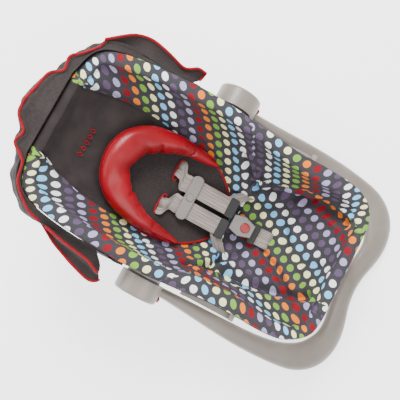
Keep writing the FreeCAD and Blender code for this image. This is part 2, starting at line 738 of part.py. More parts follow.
def adjuster_strap():
    """Webbing that runs below the shell from the yoke through the adjuster at the foot end."""
    slot = above(SLOT_X, 0, 0)
    normal = up_from(SLOT_X, 0)
    back = V(normal.z, 0, -normal.x)
    base, along, upright = adjuster_place()
    path = []
    for reach in (YOKE_FROM_SLOT + 12.0, YOKE_FROM_SLOT + 26.0):
        path.append(slot - normal * (SHELL_WALL + BACK_RUN_DROP) + back * reach)
    for x in (HUB_X + 76.0, HUB_X + 110.0, HUB_X + 145.0, HUB_X + 180.0, HUB_X + 215.0):
        path.append(above(x, 0, -SHELL_WALL - ADJUSTER_DROP + STRAP_IN_CAM))
    for reach in (-26.0, -12.0, 4.0, 20.0, 40.0):
        path.append(base + along * reach + upright * STRAP_IN_CAM)
    return ribbon(path, [ACROSS, ACROSS], ADJUSTER_WIDTH, WEBBING_THICKNESS, 40)


PARTS["adjuster_strap"] = adjuster_strap()


def adjuster():
    """Cam lock below the foot end: a folded steel housing and a hinged lever that grips the strap."""
    base, along, normal = adjuster_place()
    half = ADJUSTER_WIDTH / 2
    floor_plate = box(44.0, 2 * half + 12.0, 2.0, V(0, 0, -7.0))
    cheeks = [box(44.0, 2.0, 18.0, V(0, side * (half + 5.0), 1.0)) for side in (1, -1)]
    pin = drum(2.5, -half - 7.0, half + 7.0, -6.0, 3.0)
    housing = floor_plate.fuse(cheeks + [pin]).removeSplitter()
    lever = box(46.0, 2 * half + 6.0, 4.0, V(7.0, 0, 3.0)).fuse(drum(5.5, -half - 3.0, half + 3.0, -6.0, 3.0))
    lever = lever.cut(drum(2.6, -half - 20.0, half + 20.0, -6.0, 3.0)).removeSplitter()
    PARTS["adjuster_housing"] = placed(housing, base, along, normal)
    PARTS["adjuster_lever"] = placed(lever, base, along, normal)
    return base - along * 6.0 + normal * 3.0


ADJUSTER_AXIS = adjuster()


def chest_clip():
    """Two interlocking halves that bridge the shoulder straps, and the round release between them."""
    half = CLIP_LENGTH / 2
    web = WEBBING_THICKNESS + 2.4
    body = rounded_box(CLIP_WIDTH, CLIP_LENGTH, CLIP_THICKNESS, CLIP_WIDTH / 2 - 1.0, 1.5)
    for side in (1, -1):
        body = body.cut(box(60.0, WEBBING_WIDTH + 2.4, web, V(0, side * STRAP_Y, 0)))
    button_bore = Part.makeCylinder(8.4, 20.0, V(0, 0, 0.6))
    body = body.cut(button_bore)
    middle = 0.4
    left = body.common(box(60.0, half, 40.0, V(0, half / 2 + middle / 2, 0)))
    right = body.common(box(60.0, half, 40.0, V(0, -half / 2 - middle / 2, 0)))
    release = Part.makeCylinder(8.0, CLIP_THICKNESS / 2 - 0.8, V(0, 0, 2.8))
    top = [e for e in release.Edges if e.BoundBox.ZLength < 1e-6 and e.BoundBox.ZMin > 3.0]
    release = release.makeFillet(1.0, top)
    base = on_run(CLIP_ON_RUN, 0)
    PARTS["chest_clip_left"] = placed(left, base, RUN, RUN_UP)
    PARTS["chest_clip_right"] = placed(right, base, RUN, RUN_UP)
    PARTS["chest_clip_release"] = placed(release, base, RUN, RUN_UP)


chest_clip()


# ---------------------------------------------------------------- handle
FOOT_FROM_HUB = SHELL_LENGTH - HUB_FROM_HEAD
REACH = math.hypot(FOOT_FROM_HUB, HUB_Z - FOOT_RIM_HEIGHT) + BAR_FOOT_GAP + BAR_HALF_WIDTH

# handle centre line and section: distance from the hub axis as share of the reach, centre line's distance
# outside the arm's inner face, half width as share of the bar's, and half thickness as share
HANDLE_PATH = [
    (0.06, 10.0, 0.352, 1.25), (0.17, 11.6, 0.41, 1.15), (0.32, 15.2, 0.54, 1.05), (0.48, 18.8, 0.67, 1.0),
    (0.64, 19.4, 0.77, 1.0), (0.78, 14.0, 0.93, 1.0), (0.89, -0.5, 1.15, 1.0), (0.96, -26.0, 1.25, 1.0),
    (0.995, -62.0, 1.13, 1.0), (0.993, -100.0, 0.98, 1.0),
]


def handle_sections(shrink):
    run = []
    for along, out, wide, thick in HANDLE_PATH:
        run.append((along * REACH, ARM_FACE + out, wide * BAR_HALF_WIDTH, thick * HANDLE_HALF_THICKNESS))
    middle = (REACH - BAR_DIP, 0.0, 0.84 * BAR_HALF_WIDTH, HANDLE_HALF_THICKNESS)
    near = (REACH - BAR_DIP * 0.72, (ARM_FACE - 100.0) * 0.52, 0.87 * BAR_HALF_WIDTH, HANDLE_HALF_THICKNESS)
    run += [near, middle]
    run += [(x, -y, w, t) for x, y, w, t in reversed(run[:-1])]
    centres = [V(x, y, 0) for x, y, _, _ in run]
    wides = []
    for i in range(len(run)):
        ahead = centres[min(i + 1, len(run) - 1)] - centres[max(i - 1, 0)]
        wides.append(ahead.cross(UP).normalize())
    wides[0] = V(0, -1, 0)
    wides[-1] = V(0, 1, 0)
    widths = [w - shrink for _, _, w, _ in run]
    heights = [t - shrink for _, _, _, t in run]
    return centres, wides, [UP] * len(run), widths, heights


def handle_solid(shrink):
    return loft(*handle_sections(shrink), fullness=2.5, count=24)


CUP_FACE = ARM_FACE + CUP_DEPTH
RING_TOP = BOSS_FACE + RING_DEPTH
COVER_TOP = CUP_FACE + COVER_SEAT + COVER_DEPTH
BUTTON_Y = CUP_FACE + COVER_SEAT + 7.0
BUTTON_DEPTH = 9.0
BUTTON_WIDTH = 11.0
PAWL_OUT = RING_BORE - 1.2
PAWL_IN = PAWL_OUT - 8.0


def cup():
    """Round end of the left arm, open towards the shell, with the slot for the locking pawl."""
    body = drum(HUB_RADIUS, ARM_FACE, CUP_FACE)
    body = body.cut(drum(HUB_RADIUS - CUP_WALL, ARM_FACE - 1.0, CUP_FACE - CUP_WEB))
    body = body.cut(drum(PIVOT_RADIUS + PIVOT_CLEARANCE, ARM_FACE, CUP_FACE + 1.0))
    slot_from = PAWL_IN - BUTTON_TRAVEL - 0.5
    slot_to = PAWL_OUT + 0.5
    slot = box(slot_to - slot_from, CUP_WEB + 4.0, 9.0, V((slot_from + slot_to) / 2, CUP_FACE - CUP_WEB / 2, 0))
    return body.cut(slot)


def lattice_free_hollow():
    """Hollow of the handle that stops short of both cups."""
    hollow = handle_solid(HANDLE_WALL)
    for side in (1, -1):
        hollow = hollow.cut(drum(HUB_RADIUS + 2.0, side * (ARM_FACE - 5.0), side * (CUP_FACE + 5.0)))
    return hollow


def handle_parts():
    """Upper moulding with both cups, and the lower cover that closes its channel."""
    outer = handle_solid(0.0)
    trimmed = outer
    for side in (1, -1):
        trimmed = trimmed.cut(drum(HUB_RADIUS - 1.0, side * (ARM_FACE - 5.0), side * (CUP_FACE + 5.0)))
        trimmed = trimmed.cut(drum(HUB_RADIUS + 0.4, side * CUP_FACE, side * (CUP_FACE + 30.0)))
    hollow = lattice_free_hollow()
    skin = trimmed.cut(hollow)
    below = box(3 * REACH, 3 * REACH, 200.0, V(0, 0, SPLIT_LEVEL - 100.0))
    posts = []
    bottom = -HANDLE_HALF_THICKNESS + 3.2
    for place in screw_places():
        post = Part.makeCylinder(4.2, 60.0, place + V(0, 0, -30.0)).common(outer)
        posts.append(post)
    skin = skin.fuse(posts)
    for place in screw_places():
        skin = skin.cut(Part.makeCylinder(2.9, 40.0, place + V(0, 0, bottom + 2.1 - 40.0)))
        skin = skin.cut(Part.makeCylinder(SCREW_SHANK + 0.1, 13.6, place + V(0, 0, bottom + 2.0)))
    upper = skin.cut(below)
    left_cup = cup()
    right_cup = left_cup.mirror(V(0, 0, 0), V(0, 1, 0))
    upper = upper.fuse([left_cup, right_cup])
    lower = skin.common(below)
    seam = 0.3
    lower = lower.cut(box(3 * REACH, 3 * REACH, 0.2, V(0, 0, SPLIT_LEVEL)))
    for side in (1, -1):
        lower = lower.cut(drum(HUB_RADIUS + seam, side * (ARM_FACE - 5.0), side * (CUP_FACE + 5.0)))
    upper = max(upper.Solids, key=lambda s: s.Volume)
    lower = max(lower.Solids, key=lambda s: s.Volume)
    return upper, lower


SCREW_SPOTS = [(0.24, 13.0), (0.55, 19.0), (0.86, 4.0)]
SCREW_SHANK = 1.5
SPLIT_LEVEL = -2.0


def screw_places():
    places = []
    for along, out in SCREW_SPOTS:
        for side in (1, -1):
            places.append(V(along * REACH, side * (ARM_FACE + out), 0))
    places.append(V(REACH - BAR_DIP, 0, 0))
    return places


def handle_screws():
    """Screws that hold the lower cover, heads sunk into it from below."""
    screws = []
    for place in screw_places():
        bottom = -HANDLE_HALF_THICKNESS + 3.2
        head = Part.makeCylinder(2.6, 2.0, place + V(0, 0, bottom))
        shank = Part.makeCylinder(SCREW_SHANK, 13.0, place + V(0, 0, bottom + 2.0))
        screws.append(head.fuse(shank).removeSplitter())
    return Part.makeCompound(screws)


def hub_cover():
    """Left outer drum over the release, with a window for the button."""
    low = CUP_FACE + COVER_SEAT
    body = drum(HUB_RADIUS, low, COVER_TOP)
    edge = [e for e in body.Edges if abs(e.BoundBox.YMin - COVER_TOP) < 1e-6 and e.BoundBox.YLength < 1e-6]
    body = body.makeFillet(6.0, edge)
    body = body.cut(drum(HUB_RADIUS - COVER_WALL, low - 1.0, COVER_TOP - COVER_WALL))
    window = box(30.0, 2 * KNOB_RADIUS + 1.0, BUTTON_WIDTH + 1.0, V(HUB_RADIUS, BUTTON_Y, 0))
    post = box(4.0, COVER_DEPTH - COVER_WALL - 6.0, 16.0,
               V(-27.0, low + 6.0 + (COVER_DEPTH - COVER_WALL - 6.0) / 2, 0))
    return body.cut(window).fuse(post).removeSplitter()


def release_button():
    """Left slider with its red knob; the pawl drops from it through the cup."""
    inner = PAWL_IN
    stem = box(HUB_RADIUS - inner, BUTTON_DEPTH, BUTTON_WIDTH, V((HUB_RADIUS + inner) / 2, BUTTON_Y, 0))
    knob = Part.makeCylinder(KNOB_RADIUS, KNOB_REACH, V(HUB_RADIUS - 2.0, BUTTON_Y, 0), V(1, 0, 0))
    tip = [e for e in knob.Edges if e.BoundBox.XLength < 1e-6 and e.BoundBox.XMin > HUB_RADIUS]
    knob = knob.makeFillet(KNOB_RADIUS * 0.45, tip)
    heel_top = COVER_TOP - COVER_WALL - 0.6
    heel = box(4.0, heel_top - BUTTON_Y, BUTTON_WIDTH, V(inner + 2.0, (heel_top + BUTTON_Y) / 2, 0))
    return stem.fuse([knob, heel]).removeSplitter()


def pawl():
    """Steel pawl below the left slider, in the bore of the lock ring."""
    low = BOSS_FACE + 2.0
    top = BUTTON_Y - BUTTON_DEPTH / 2
    return box(PAWL_OUT - PAWL_IN, top - low, 8.0, V((PAWL_OUT + PAWL_IN) / 2, (top + low) / 2, 0))


def button_spring():
    """Left compression spring from the cover's post to the slider's heel, along X."""
    y = COVER_TOP - COVER_WALL - 3.6
    spring = coil(2.2, 36.2, 11, V(0, 0, 0))
    spring.rotate(V(0, 0, 0), V(0, 1, 0), 90)
    spring.translate(V(-24.6, y, 0))
    return spring


RING_NOTCHES = 8


def lock_ring():
    """Left toothed ring on the shell's boss, whose inner notches hold the pawl."""
    ring = drum(BOSS_RADIUS, BOSS_FACE, RING_TOP).cut(drum(RING_BORE, BOSS_FACE - 1.0, RING_TOP + 1.0))
    notch = box(8.0, RING_DEPTH + 2.0, 9.0, V(RING_BORE + 1.0, (BOSS_FACE + RING_TOP) / 2, 0))
    for k in range(RING_NOTCHES):
        cutter = notch.copy()
        cutter.rotate(V(0, 0, 0), V(0, 1, 0), 360.0 * k / RING_NOTCHES)
        ring = ring.cut(cutter)
    return ring


def pivot_bolt():
    """Left shoulder bolt: thread in the boss, bearing shoulder in the cup, head outside."""
    thread = drum(PIVOT_THREAD, BOSS_FACE - 12.0, BOSS_FACE)
    shoulder = drum(PIVOT_RADIUS, BOSS_FACE, CUP_FACE + 0.3)
    head = drum(PIVOT_RADIUS + 2.0, CUP_FACE + 0.3, CUP_FACE + 4.8)
    socket = drum(3.0, CUP_FACE + 2.0, CUP_FACE + 6.0)
    return thread.fuse([shoulder, head]).cut(socket).removeSplitter()


def rest_angle():
    """Angle below level at which the handle's bar hangs just above the ground."""
    centres, wides, _, widths, heights = handle_sections(0.0)
    low, high = 5.0, 60.0
    for _ in range(40):
        angle = math.radians((low + high) / 2)
        deepest = 0.0
        for centre, wide, half_width, half_height in zip(centres, wides, widths, heights):
            swing = math.hypot(wide.x * half_width * math.sin(angle), half_height * math.cos(angle))
            deepest = max(deepest, centre.x * math.sin(angle) + 1.16 * swing)
        if HUB_Z - deepest > GROUND_GAP:
            low = math.degrees(angle)
        else:
            high = math.degrees(angle)
    return low


HANDLE_ANGLE = rest_angle()


def handle_pose(shape):
    """From the handle's own frame, arms along X about the hub, to its stored place."""
    moved = shape.copy()
    moved.rotate(V(0, 0, 0), V(0, 1, 0), HANDLE_ANGLE)
    moved.translate(V(HUB_X, 0, HUB_Z))
    return moved


def handle_group():
    upper, lower = handle_parts()
    PARTS["handle_frame"] = handle_pose(upper)
    PARTS["handle_lower_cover"] = handle_pose(lower)
    PARTS["handle_screws"] = handle_pose(handle_screws())
    for name, make in (
        ("hub_cover", hub_cover),
        ("release_button", release_button),
        ("locking_pawl", pawl),
        ("button_spring", button_spring),
    ):
        left, right = both_sides(make())
        PARTS[name + "_left"] = handle_pose(left)
        PARTS[name + "_right"] = handle_pose(right)
    for name, make in (("lock_ring", lock_ring), ("pivot_bolt", pivot_bolt)):
        left, right = both_sides(make())
        for side, solid in (("left", left), ("right", right)):
            solid.translate(V(HUB_X, 0, HUB_Z))
            PARTS[name + "_" + side] = solid


handle_group()

# ---------------------------------------------------------------- hood
TILT = math.radians(HOOD_TILT)
HOOD_BACK = V(-math.cos(TILT), 0, math.sin(TILT))
HOOD_UP = V(math.sin(TILT), 0, math.cos(TILT))
HOOD_REACH = (HOOD_X - HEAD_X + SHELL_WALL + HOOD_GAP) / math.cos(TILT)
BOW_LINE = ARM_FACE - 1.6 - BOW_RADIUS
HOOD_SIDE = BOW_LINE + 2.4      # outer face of the fabric beside the handle arms
PIVOT = V(HOOD_X, 0, HOOD_Z)


def hood_outline(start, reach, half_width, corner):
    """The hood's plan from the left pivot round the head end to the right one, as (back, across) pairs."""
    points = [(start + (reach - corner - start) * k / 6, half_width) for k in range(6)]
    for k in range(7):
        a = math.radians(15 * k)
        points.append((reach - corner + corner * math.sin(a), half_width - corner + corner * math.cos(a)))
    points.append((reach, (half_width - corner) * 0.5))
    points.append((reach, 0.0))
    points += [(b, -a) for b, a in reversed(points[:-1])]
    return [(p.x, p.y) for p in evenly([V(b, a, 0) for b, a in points], 41)]


def hood_band(low, high, thickness):
    """Folded fabric as a band round the head end, between two levels below the bow."""
    levels = [low + (high - low) * k / 4 for k in range(5)]
    inner = hood_outline(26.0, HOOD_REACH - 2.0, BOW_LINE - 2.2, BOW_CORNER)
    grids = []
    for side in (0, 1):
        grid = []
        for i, (b, a) in enumerate(inner):
            share = max(0.0, min(1.0, (b - 40.0) / (HOOD_REACH - 90.0)))
            grow = side * (4.6 + (thickness - 4.6) * share ** 2)
            centre_b = HOOD_REACH - BOW_CORNER
            away = V(max(0.0, b - centre_b), math.copysign(max(0.0, abs(a) - (BOW_LINE - BOW_CORNER)), a), 0)
            away = away.normalize() if away.Length > 1e-6 else V(1, 0, 0)
            back = b + away.x * grow
            across = a + away.y * grow
            across = max(-HOOD_SIDE, min(HOOD_SIDE, across))
            grid.append([PIVOT + HOOD_BACK * back + V(0, across, 0) + HOOD_UP * z for z in levels])
        grids.append(grid)
    return slab(grids[0], grids[1])


def hood_bow():
    outline = hood_outline(HOOD_BOSS_RADIUS + 0.8, HOOD_REACH, BOW_LINE, BOW_CORNER)
    centres = [PIVOT + HOOD_BACK * b + V(0, a, 0) for b, a in outline]
    wides = []
    for i in range(len(centres)):
        ahead = centres[min(i + 1, len(centres) - 1)] - centres[max(i - 1, 0)]
        wides.append(ahead.cross(HOOD_UP).normalize())
    count = len(centres)
    tube = loft(centres, wides, [HOOD_UP] * count, [BOW_RADIUS] * count, [BOW_RADIUS] * count, count=12)
    for side in (1, -1):
        disc = drum(HOOD_BOSS_RADIUS + 3.0, side * (HOOD_FACE + 0.4), side * (ARM_FACE - 1.6), HOOD_X, HOOD_Z)
        disc = disc.cut(drum(HOOD_PIN + 0.06, side * 150.0, side * 250.0, HOOD_X, HOOD_Z))
        tube = tube.fuse(disc)
    for side in (1, -1):
        tube = tube.cut(drum(HOOD_PIN + 0.06, side * 150.0, side * 250.0, HOOD_X, HOOD_Z))
    return max(tube.Solids, key=lambda s: s.Volume)


def hood_pin():
    """Left rivet that carries the hood bow."""
    shank = drum(HOOD_PIN, HOOD_FACE - 6.0, ARM_FACE - 1.3, HOOD_X, HOOD_Z)
    head = drum(HOOD_PIN + 3.0, ARM_FACE - 1.3, ARM_FACE - 0.4, HOOD_X, HOOD_Z)
    return shank.fuse(head).removeSplitter()


HOOD_SPLIT = 0.5 * HOOD_DROP
HOOD_BULGE = 26.0
PARTS["hood_bow"] = hood_bow()
PARTS["hood_front_fabric"] = hood_band(-HOOD_SPLIT + 1.0, -BOW_RADIUS - 0.6, HOOD_BULGE)
PARTS["hood_rear_fabric"] = hood_band(-HOOD_DROP, -HOOD_SPLIT - 1.0, HOOD_BULGE)
for name, solid in zip(("hood_pin_left", "hood_pin_right"), both_sides(hood_pin())):
    PARTS[name] = solid

# ---------------------------------------------------------------- origin and export
whole = Part.makeCompound(list(PARTS.values())).BoundBox
SHIFT = V(-(whole.XMin + whole.XMax) / 2, -(whole.YMin + whole.YMax) / 2, -whole.ZMin)
for name in sorted(PARTS):
    solid = PARTS[name].copy()
    solid.translate(SHIFT)
    if not solid.isValid() or len(solid.Solids) < 1:
        print("invalid solid", name)
    solid.exportStep(os.path.join("parts", name + ".step"))

print("nodes", len(PARTS))
print("shift", SHIFT)
print("handle_angle", HANDLE_ANGLE, "reach", REACH)
for label, point in (
    ("hub", V(HUB_X, 0, HUB_Z)),
    ("hood_pivot", PIVOT),
    ("adjuster_axis", ADJUSTER_AXIS),
    ("buckle", BUCKLE_AT),
    ("chest_clip", on_run(CLIP_ON_RUN, 0)),
):
    print(label, [round(c, 3) for c in (point + SHIFT)])
for label, vector in (("run", RUN), ("run_up", RUN_UP), ("buckle_up", BUCKLE_UP), ("hood_up", HOOD_UP)):
    print(label, [round(c, 6) for c in vector])
print("adjuster_normal", [round(c, 6) for c in up_from(ADJUSTER_X, 0)])
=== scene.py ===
"""Looks of an infant car seat: dotted cover, harness, hood and moulded plastic around a fixed frame.

All sizes are in metres. X runs from the head end to the foot end, Y to the child's left, Z up.
"""
import math

import bmesh
import bpy
import numpy as np
from mathutils import Matrix, Vector
from mathutils import noise


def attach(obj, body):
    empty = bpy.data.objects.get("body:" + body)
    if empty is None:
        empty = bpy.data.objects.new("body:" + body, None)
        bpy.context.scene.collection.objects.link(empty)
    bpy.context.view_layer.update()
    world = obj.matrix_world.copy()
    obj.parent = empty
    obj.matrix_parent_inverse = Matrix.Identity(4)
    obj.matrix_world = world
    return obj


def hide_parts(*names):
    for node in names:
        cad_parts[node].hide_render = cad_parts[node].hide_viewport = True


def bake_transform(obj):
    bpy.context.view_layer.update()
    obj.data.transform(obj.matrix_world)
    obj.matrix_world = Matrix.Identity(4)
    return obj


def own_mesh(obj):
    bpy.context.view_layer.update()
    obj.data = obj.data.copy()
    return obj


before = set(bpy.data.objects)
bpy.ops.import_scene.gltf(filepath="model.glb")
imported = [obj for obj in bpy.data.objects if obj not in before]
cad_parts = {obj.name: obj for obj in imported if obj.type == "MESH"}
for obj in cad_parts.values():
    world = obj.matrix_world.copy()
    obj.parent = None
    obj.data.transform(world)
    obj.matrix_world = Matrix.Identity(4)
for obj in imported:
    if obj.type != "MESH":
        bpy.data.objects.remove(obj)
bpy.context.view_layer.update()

bl_info = {
    "name": "Infant car seat",
    "version": (1, 0, 0),
    "blender": (4, 5, 0),
    "location": "3D View > Sidebar > Car Seat",
    "description": "Builds the soft goods, trims and finishes of an infant car seat around its frame",
    "category": "Object",
}

# ---------------------------------------------------------------- the bucket that the soft goods lie in
HEAD_X = -0.33135
LENGTH = 0.612
HALF_WIDTH = 0.172
HEAD_HEIGHT = 0.328
FOOT_HEIGHT = 0.204
LOW_HEIGHT = 0.070
FULLNESS = 2.35
PAD_GAP = 0.001
PAD_TOP = 0.020

RIM_ALONG = [0.0, 0.016, 0.062, 0.196, 0.425, 0.637, 0.784, 0.902, 0.977, 1.0]
RIM_ACROSS = [0.48, 0.70, 0.865, 0.965, 1.0, 0.935, 0.935, 0.925, 0.79, 0.50]
RIM_DROP = [0.0, 0.01, 0.025, 0.10, 0.275, 0.516, 0.71, 0.863, 0.96, 1.0]
FLOOR_ALONG = [0.0, 0.010, 0.049, 0.18, 0.408, 0.629, 0.781, 0.902, 0.974, 1.0]
FLOOR_SINK = [0.0, 0.108, 0.256, 0.527, 0.837, 1.0]
FLOOR_CLIMB = [0.105, 0.403, 0.761, 1.0]


def smooth_through(values):
    """A function of 0..1 that runs smoothly through evenly spaced values."""
    v = np.array(values, float)
    n = len(v) - 1
    h = 1 / n
    a = np.zeros((n + 1, n + 1))
    b = np.zeros(n + 1)
    for i in range(1, n):
        a[i, i - 1: i + 2] = (h / 6, 2 * h / 3, h / 6)
        b[i] = (v[i + 1] - 2 * v[i] + v[i - 1]) / h
    a[0, :3] = (1, -2, 1)
    a[n, n - 2:] = (1, -2, 1)
    m = np.linalg.solve(a, b)

    def at(s):
        s = np.asarray(s, float)
        i = np.clip((s * n).astype(int), 0, n - 1)
        t = s - i * h
        u = h - t
        curve = (m[i] * u ** 3 + m[i + 1] * t ** 3) / (6 * h)
        return curve + (v[i] / h - m[i] * h / 6) * u + (v[i + 1] / h - m[i + 1] * h / 6) * t

    return at


RIM_X = smooth_through([HEAD_X + a * LENGTH for a in RIM_ALONG])
RIM_Y = smooth_through([c * HALF_WIDTH for c in RIM_ACROSS])
RIM_Z = smooth_through([HEAD_HEIGHT - d * (HEAD_HEIGHT - FOOT_HEIGHT) for d in RIM_DROP])
FLOOR_X = smooth_through([HEAD_X + a * LENGTH for a in FLOOR_ALONG])
FLOOR_Z = smooth_through(
    [HEAD_HEIGHT - k * (HEAD_HEIGHT - LOW_HEIGHT) for k in FLOOR_SINK]
    + [LOW_HEIGHT + c * (FOOT_HEIGHT - LOW_HEIGHT) for c in FLOOR_CLIMB]
)


def bucket(s, turn):
    """Points on the shell's inner face; s runs from head to foot, turn from -90 to 90 degrees across."""
    angle = np.radians(turn)
    side = np.sign(turn) * np.abs(np.sin(angle)) ** (2 / FULLNESS)
    deep = np.clip(np.cos(angle), 0, None) ** (2 / FULLNESS)
    x = RIM_X(s) + (FLOOR_X(s) - RIM_X(s)) * deep
    z = RIM_Z(s) + (FLOOR_Z(s) - RIM_Z(s)) * deep
    return np.stack([x, RIM_Y(s) * side, z], -1)


def unit(v):
    """Vectors scaled to length 1."""
    return v / (np.linalg.norm(v, axis=-1, keepdims=True) + 1e-12)


def bucket_normal(s, turn):
    """Direction into the bucket at its inner face."""
    s = np.clip(s, 0.02, 0.98)
    turn = np.clip(turn, -87, 87)
    along = bucket(s + 0.01, turn) - bucket(s - 0.01, turn)
    across = bucket(s, turn + 2) - bucket(s, turn - 2)
    return unit(np.cross(along, across))


def station(x, y):
    """The bucket's own coordinates below plan positions."""
    x, y = np.broadcast_arrays(np.asarray(x, float), np.asarray(y, float))
    low = np.full(x.shape, 0.02)
    high = np.full(x.shape, 0.98)
    for _ in range(30):
        s = (low + high) / 2
        share = np.minimum(0.999, np.abs(y) / RIM_Y(s))
        turn = np.sign(y) * np.degrees(np.arcsin(share ** (FULLNESS / 2)))
        short = bucket(s, turn)[..., 0] < x
        low = np.where(short, s, low)
        high = np.where(short, high, s)
    return s, turn


def above(x, y, offset):
    """Points over plan positions at a distance inwards from the shell's inner face."""
    s, turn = station(x, y)
    return bucket(s, turn) + bucket_normal(s, turn) * np.asarray(offset)[..., None]


def around(count):
    """Even steps once round, in radians."""
    return np.arange(count) * 2 * math.pi / count


def ease(value, low, high):
    """Smooth step from 0 at low to 1 at high."""
    t = np.clip((np.asarray(value, float) - low) / (high - low), 0, 1)
    return t * t * (3 - 2 * t)


def run_along(points):
    """Distance run along a line at each of its points."""
    return np.concatenate([[0], np.cumsum(np.linalg.norm(np.diff(points, axis=0), axis=-1))])


def spline(a, b, c, d, t):
    """Place between b and c on the smooth curve through a, b, c and d."""
    return 0.5 * (2 * b + (c - a) * t + (2 * a - 5 * b + 4 * c - d) * t ** 2
                  + (3 * b - a - 3 * c + d) * t ** 3)


def catmull(points, count):
    """Even steps along a smooth curve through the points."""
    p = np.array(points, float)
    p = np.vstack([2 * p[0] - p[1], p, 2 * p[-1] - p[-2]])
    t = np.linspace(0, 1, 24, endpoint=False)[:, None]
    fine = np.vstack([spline(*p[i:i + 4], t) for i in range(len(p) - 3)] + [p[-2:-1]])
    run = run_along(fine)
    at = np.linspace(0, run[-1], count)
    return np.stack([np.interp(at, run, fine[:, k]) for k in range(fine.shape[1])], -1)


def distance_to_line(points, line):
    """Distance of each point from a polyline."""
    best = np.full(points.shape[:-1], 9.0)
    for a, b in zip(line[:-1], line[1:]):
        ab = b - a
        t = np.clip(((points - a) @ ab) / max(ab @ ab, 1e-12), 0, 1)
        best = np.minimum(best, np.linalg.norm(points - (a + t[..., None] * ab), axis=-1))
    return best


def wander(points, scale, seed, stretch=(1, 1, 1)):
    """Soft seeded noise from -1 to 1 at each point."""
    flat = (points * np.array(stretch)).reshape(-1, 3) / scale
    shift = Vector((seed * 7.31, seed * 3.17, seed * 5.73))
    values = [noise.noise(Vector(p) + shift) for p in flat]
    return np.array(values).reshape(points.shape[:-1])


# ---------------------------------------------------------------- meshes
def new_mesh_object(name, verts, faces, body, slot, finish=None, smooth=True):
    """A piece that rides on a body, with the finish of its slot unless another is named."""
    mesh = bpy.data.meshes.new(name)
    mesh.from_pydata([tuple(v) for v in np.asarray(verts, float)], [], faces)
    mesh.update()
    work = bmesh.new()
    work.from_mesh(mesh)
    bmesh.ops.recalc_face_normals(work, faces=work.faces)
    work.to_mesh(mesh)
    work.free()
    if smooth:
        mesh.shade_smooth()
    piece = bpy.data.objects.new(name, mesh)
    bpy.context.scene.collection.objects.link(piece)
    if body:
        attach(piece, body)
    dress(piece, finish or slot)
    return piece


def grid_faces(rows, columns, first=0, flip=False, close=False):
    """Faces between the rows of a grid of points, closed round each row on request."""
    faces = []
    for i in range(rows - 1):
        for j in range(columns - (0 if close else 1)):
            k = (j + 1) % columns
            face = [first + i * columns + j, first + (i + 1) * columns + j,
                    first + (i + 1) * columns + k, first + i * columns + k]
            faces.append(face[::-1] if flip else face)
    return faces


def tube(name, path, radius, body, slot, finish=None, closed=False, count=10, flat=1.0):
    """Round or flattened tube along a path, with rounded ends or closed on itself."""
    path = np.asarray(path, float)
    if closed:
        ahead = unit(np.roll(path, -1, 0) - np.roll(path, 1, 0))
    else:
        ahead = unit(np.gradient(path, axis=0))
    side = unit(np.cross(ahead, np.array([0.0, 0.0, 1.0])))
    rise = np.cross(side, ahead)
    radii = np.full(len(path), radius)
    angle = around(count)
    if not closed:
        start = [path[0] - ahead[0] * radius * c for c in (0.95, 0.7)]
        end = [path[-1] + ahead[-1] * radius * c for c in (0.7, 0.95)]
        path = np.vstack([start, path, end])
        side, rise = (np.vstack([rows[:1], rows[:1], rows, rows[-1:], rows[-1:]]) for rows in (side, rise))
        radii = radius * np.concatenate([[0.3, 0.72], np.ones(len(radii)), [0.72, 0.3]])
    ring = (side[:, None] * np.cos(angle)[None, :, None]
            + rise[:, None] * (flat * np.sin(angle))[None, :, None])
    verts = (path[:, None] + ring * radii[:, None, None]).reshape(-1, 3)
    faces = grid_faces(len(path), count, close=True)
    last = (len(path) - 1) * count
    if closed:
        faces += [[last + j, j, (j + 1) % count, last + (j + 1) % count] for j in range(count)]
    else:
        faces += [list(range(count))[::-1], [last + j for j in range(count)]]
    piece = new_mesh_object(name, verts, faces, body, slot, finish)
    run = run_along(path)
    side_step = 2 * math.pi * float(np.mean(radii)) / count
    write_uv(piece, [(run[i // count], (i % count) * side_step) for i in range(len(verts))])
    return piece


def write_uv(piece, per_vertex, name="Fabric"):
    layer = piece.data.uv_layers.new(name=name)
    table = np.asarray(per_vertex, float)
    corners = np.zeros(len(piece.data.loops), int)
    piece.data.loops.foreach_get("vertex_index", corners)
    layer.data.foreach_set("uv", table[corners].reshape(-1))


def write_mask(piece, name, values):
    attribute = piece.data.attributes.new(name, "FLOAT", "POINT")
    attribute.data.foreach_set("value", np.asarray(values, np.float32))


def apply_all(piece):
    bpy.ops.object.select_all(action="DESELECT")
    bpy.context.view_layer.objects.active = piece
    piece.select_set(True)
    for modifier in list(piece.modifiers):
        bpy.ops.object.modifier_apply(modifier=modifier.name)
    piece.select_set(False)


def thicken(piece, thickness):
    solid = piece.modifiers.new("cloth thickness", "SOLIDIFY")
    solid.thickness = thickness
    solid.offset = 0.0
    apply_all(piece)
    piece.data.shade_smooth()


# ---------------------------------------------------------------- materials
def colour(red, green, blue, gain=0.62):
    """Display values from 0 to 255 as a linear colour, scaled for the bright stage."""
    def one(c):
        c /= 255
        return gain * (c / 12.92 if c <= 0.04045 else ((c + 0.055) / 1.055) ** 2.4)
    return (one(red), one(green), one(blue), 1.0)


def put(tree, kind, sockets=None, **settings):
    """Adds a node, sets it up and wires or fills its inputs."""
    node = tree.nodes.new(kind)
    for key, value in settings.items():
        setattr(node, key, value)
    for key, value in (sockets or {}).items():
        if isinstance(value, bpy.types.NodeSocket):
            tree.links.new(value, node.inputs[key])
        else:
            node.inputs[key].default_value = value
    return node


def calc(tree, operation, *values):
    return put(tree, "ShaderNodeMath", dict(enumerate(values)), operation=operation).outputs[0]


def add(tree, first, second):
    return calc(tree, "ADD", first, second)


def times(tree, first, second):
    return calc(tree, "MULTIPLY", first, second)


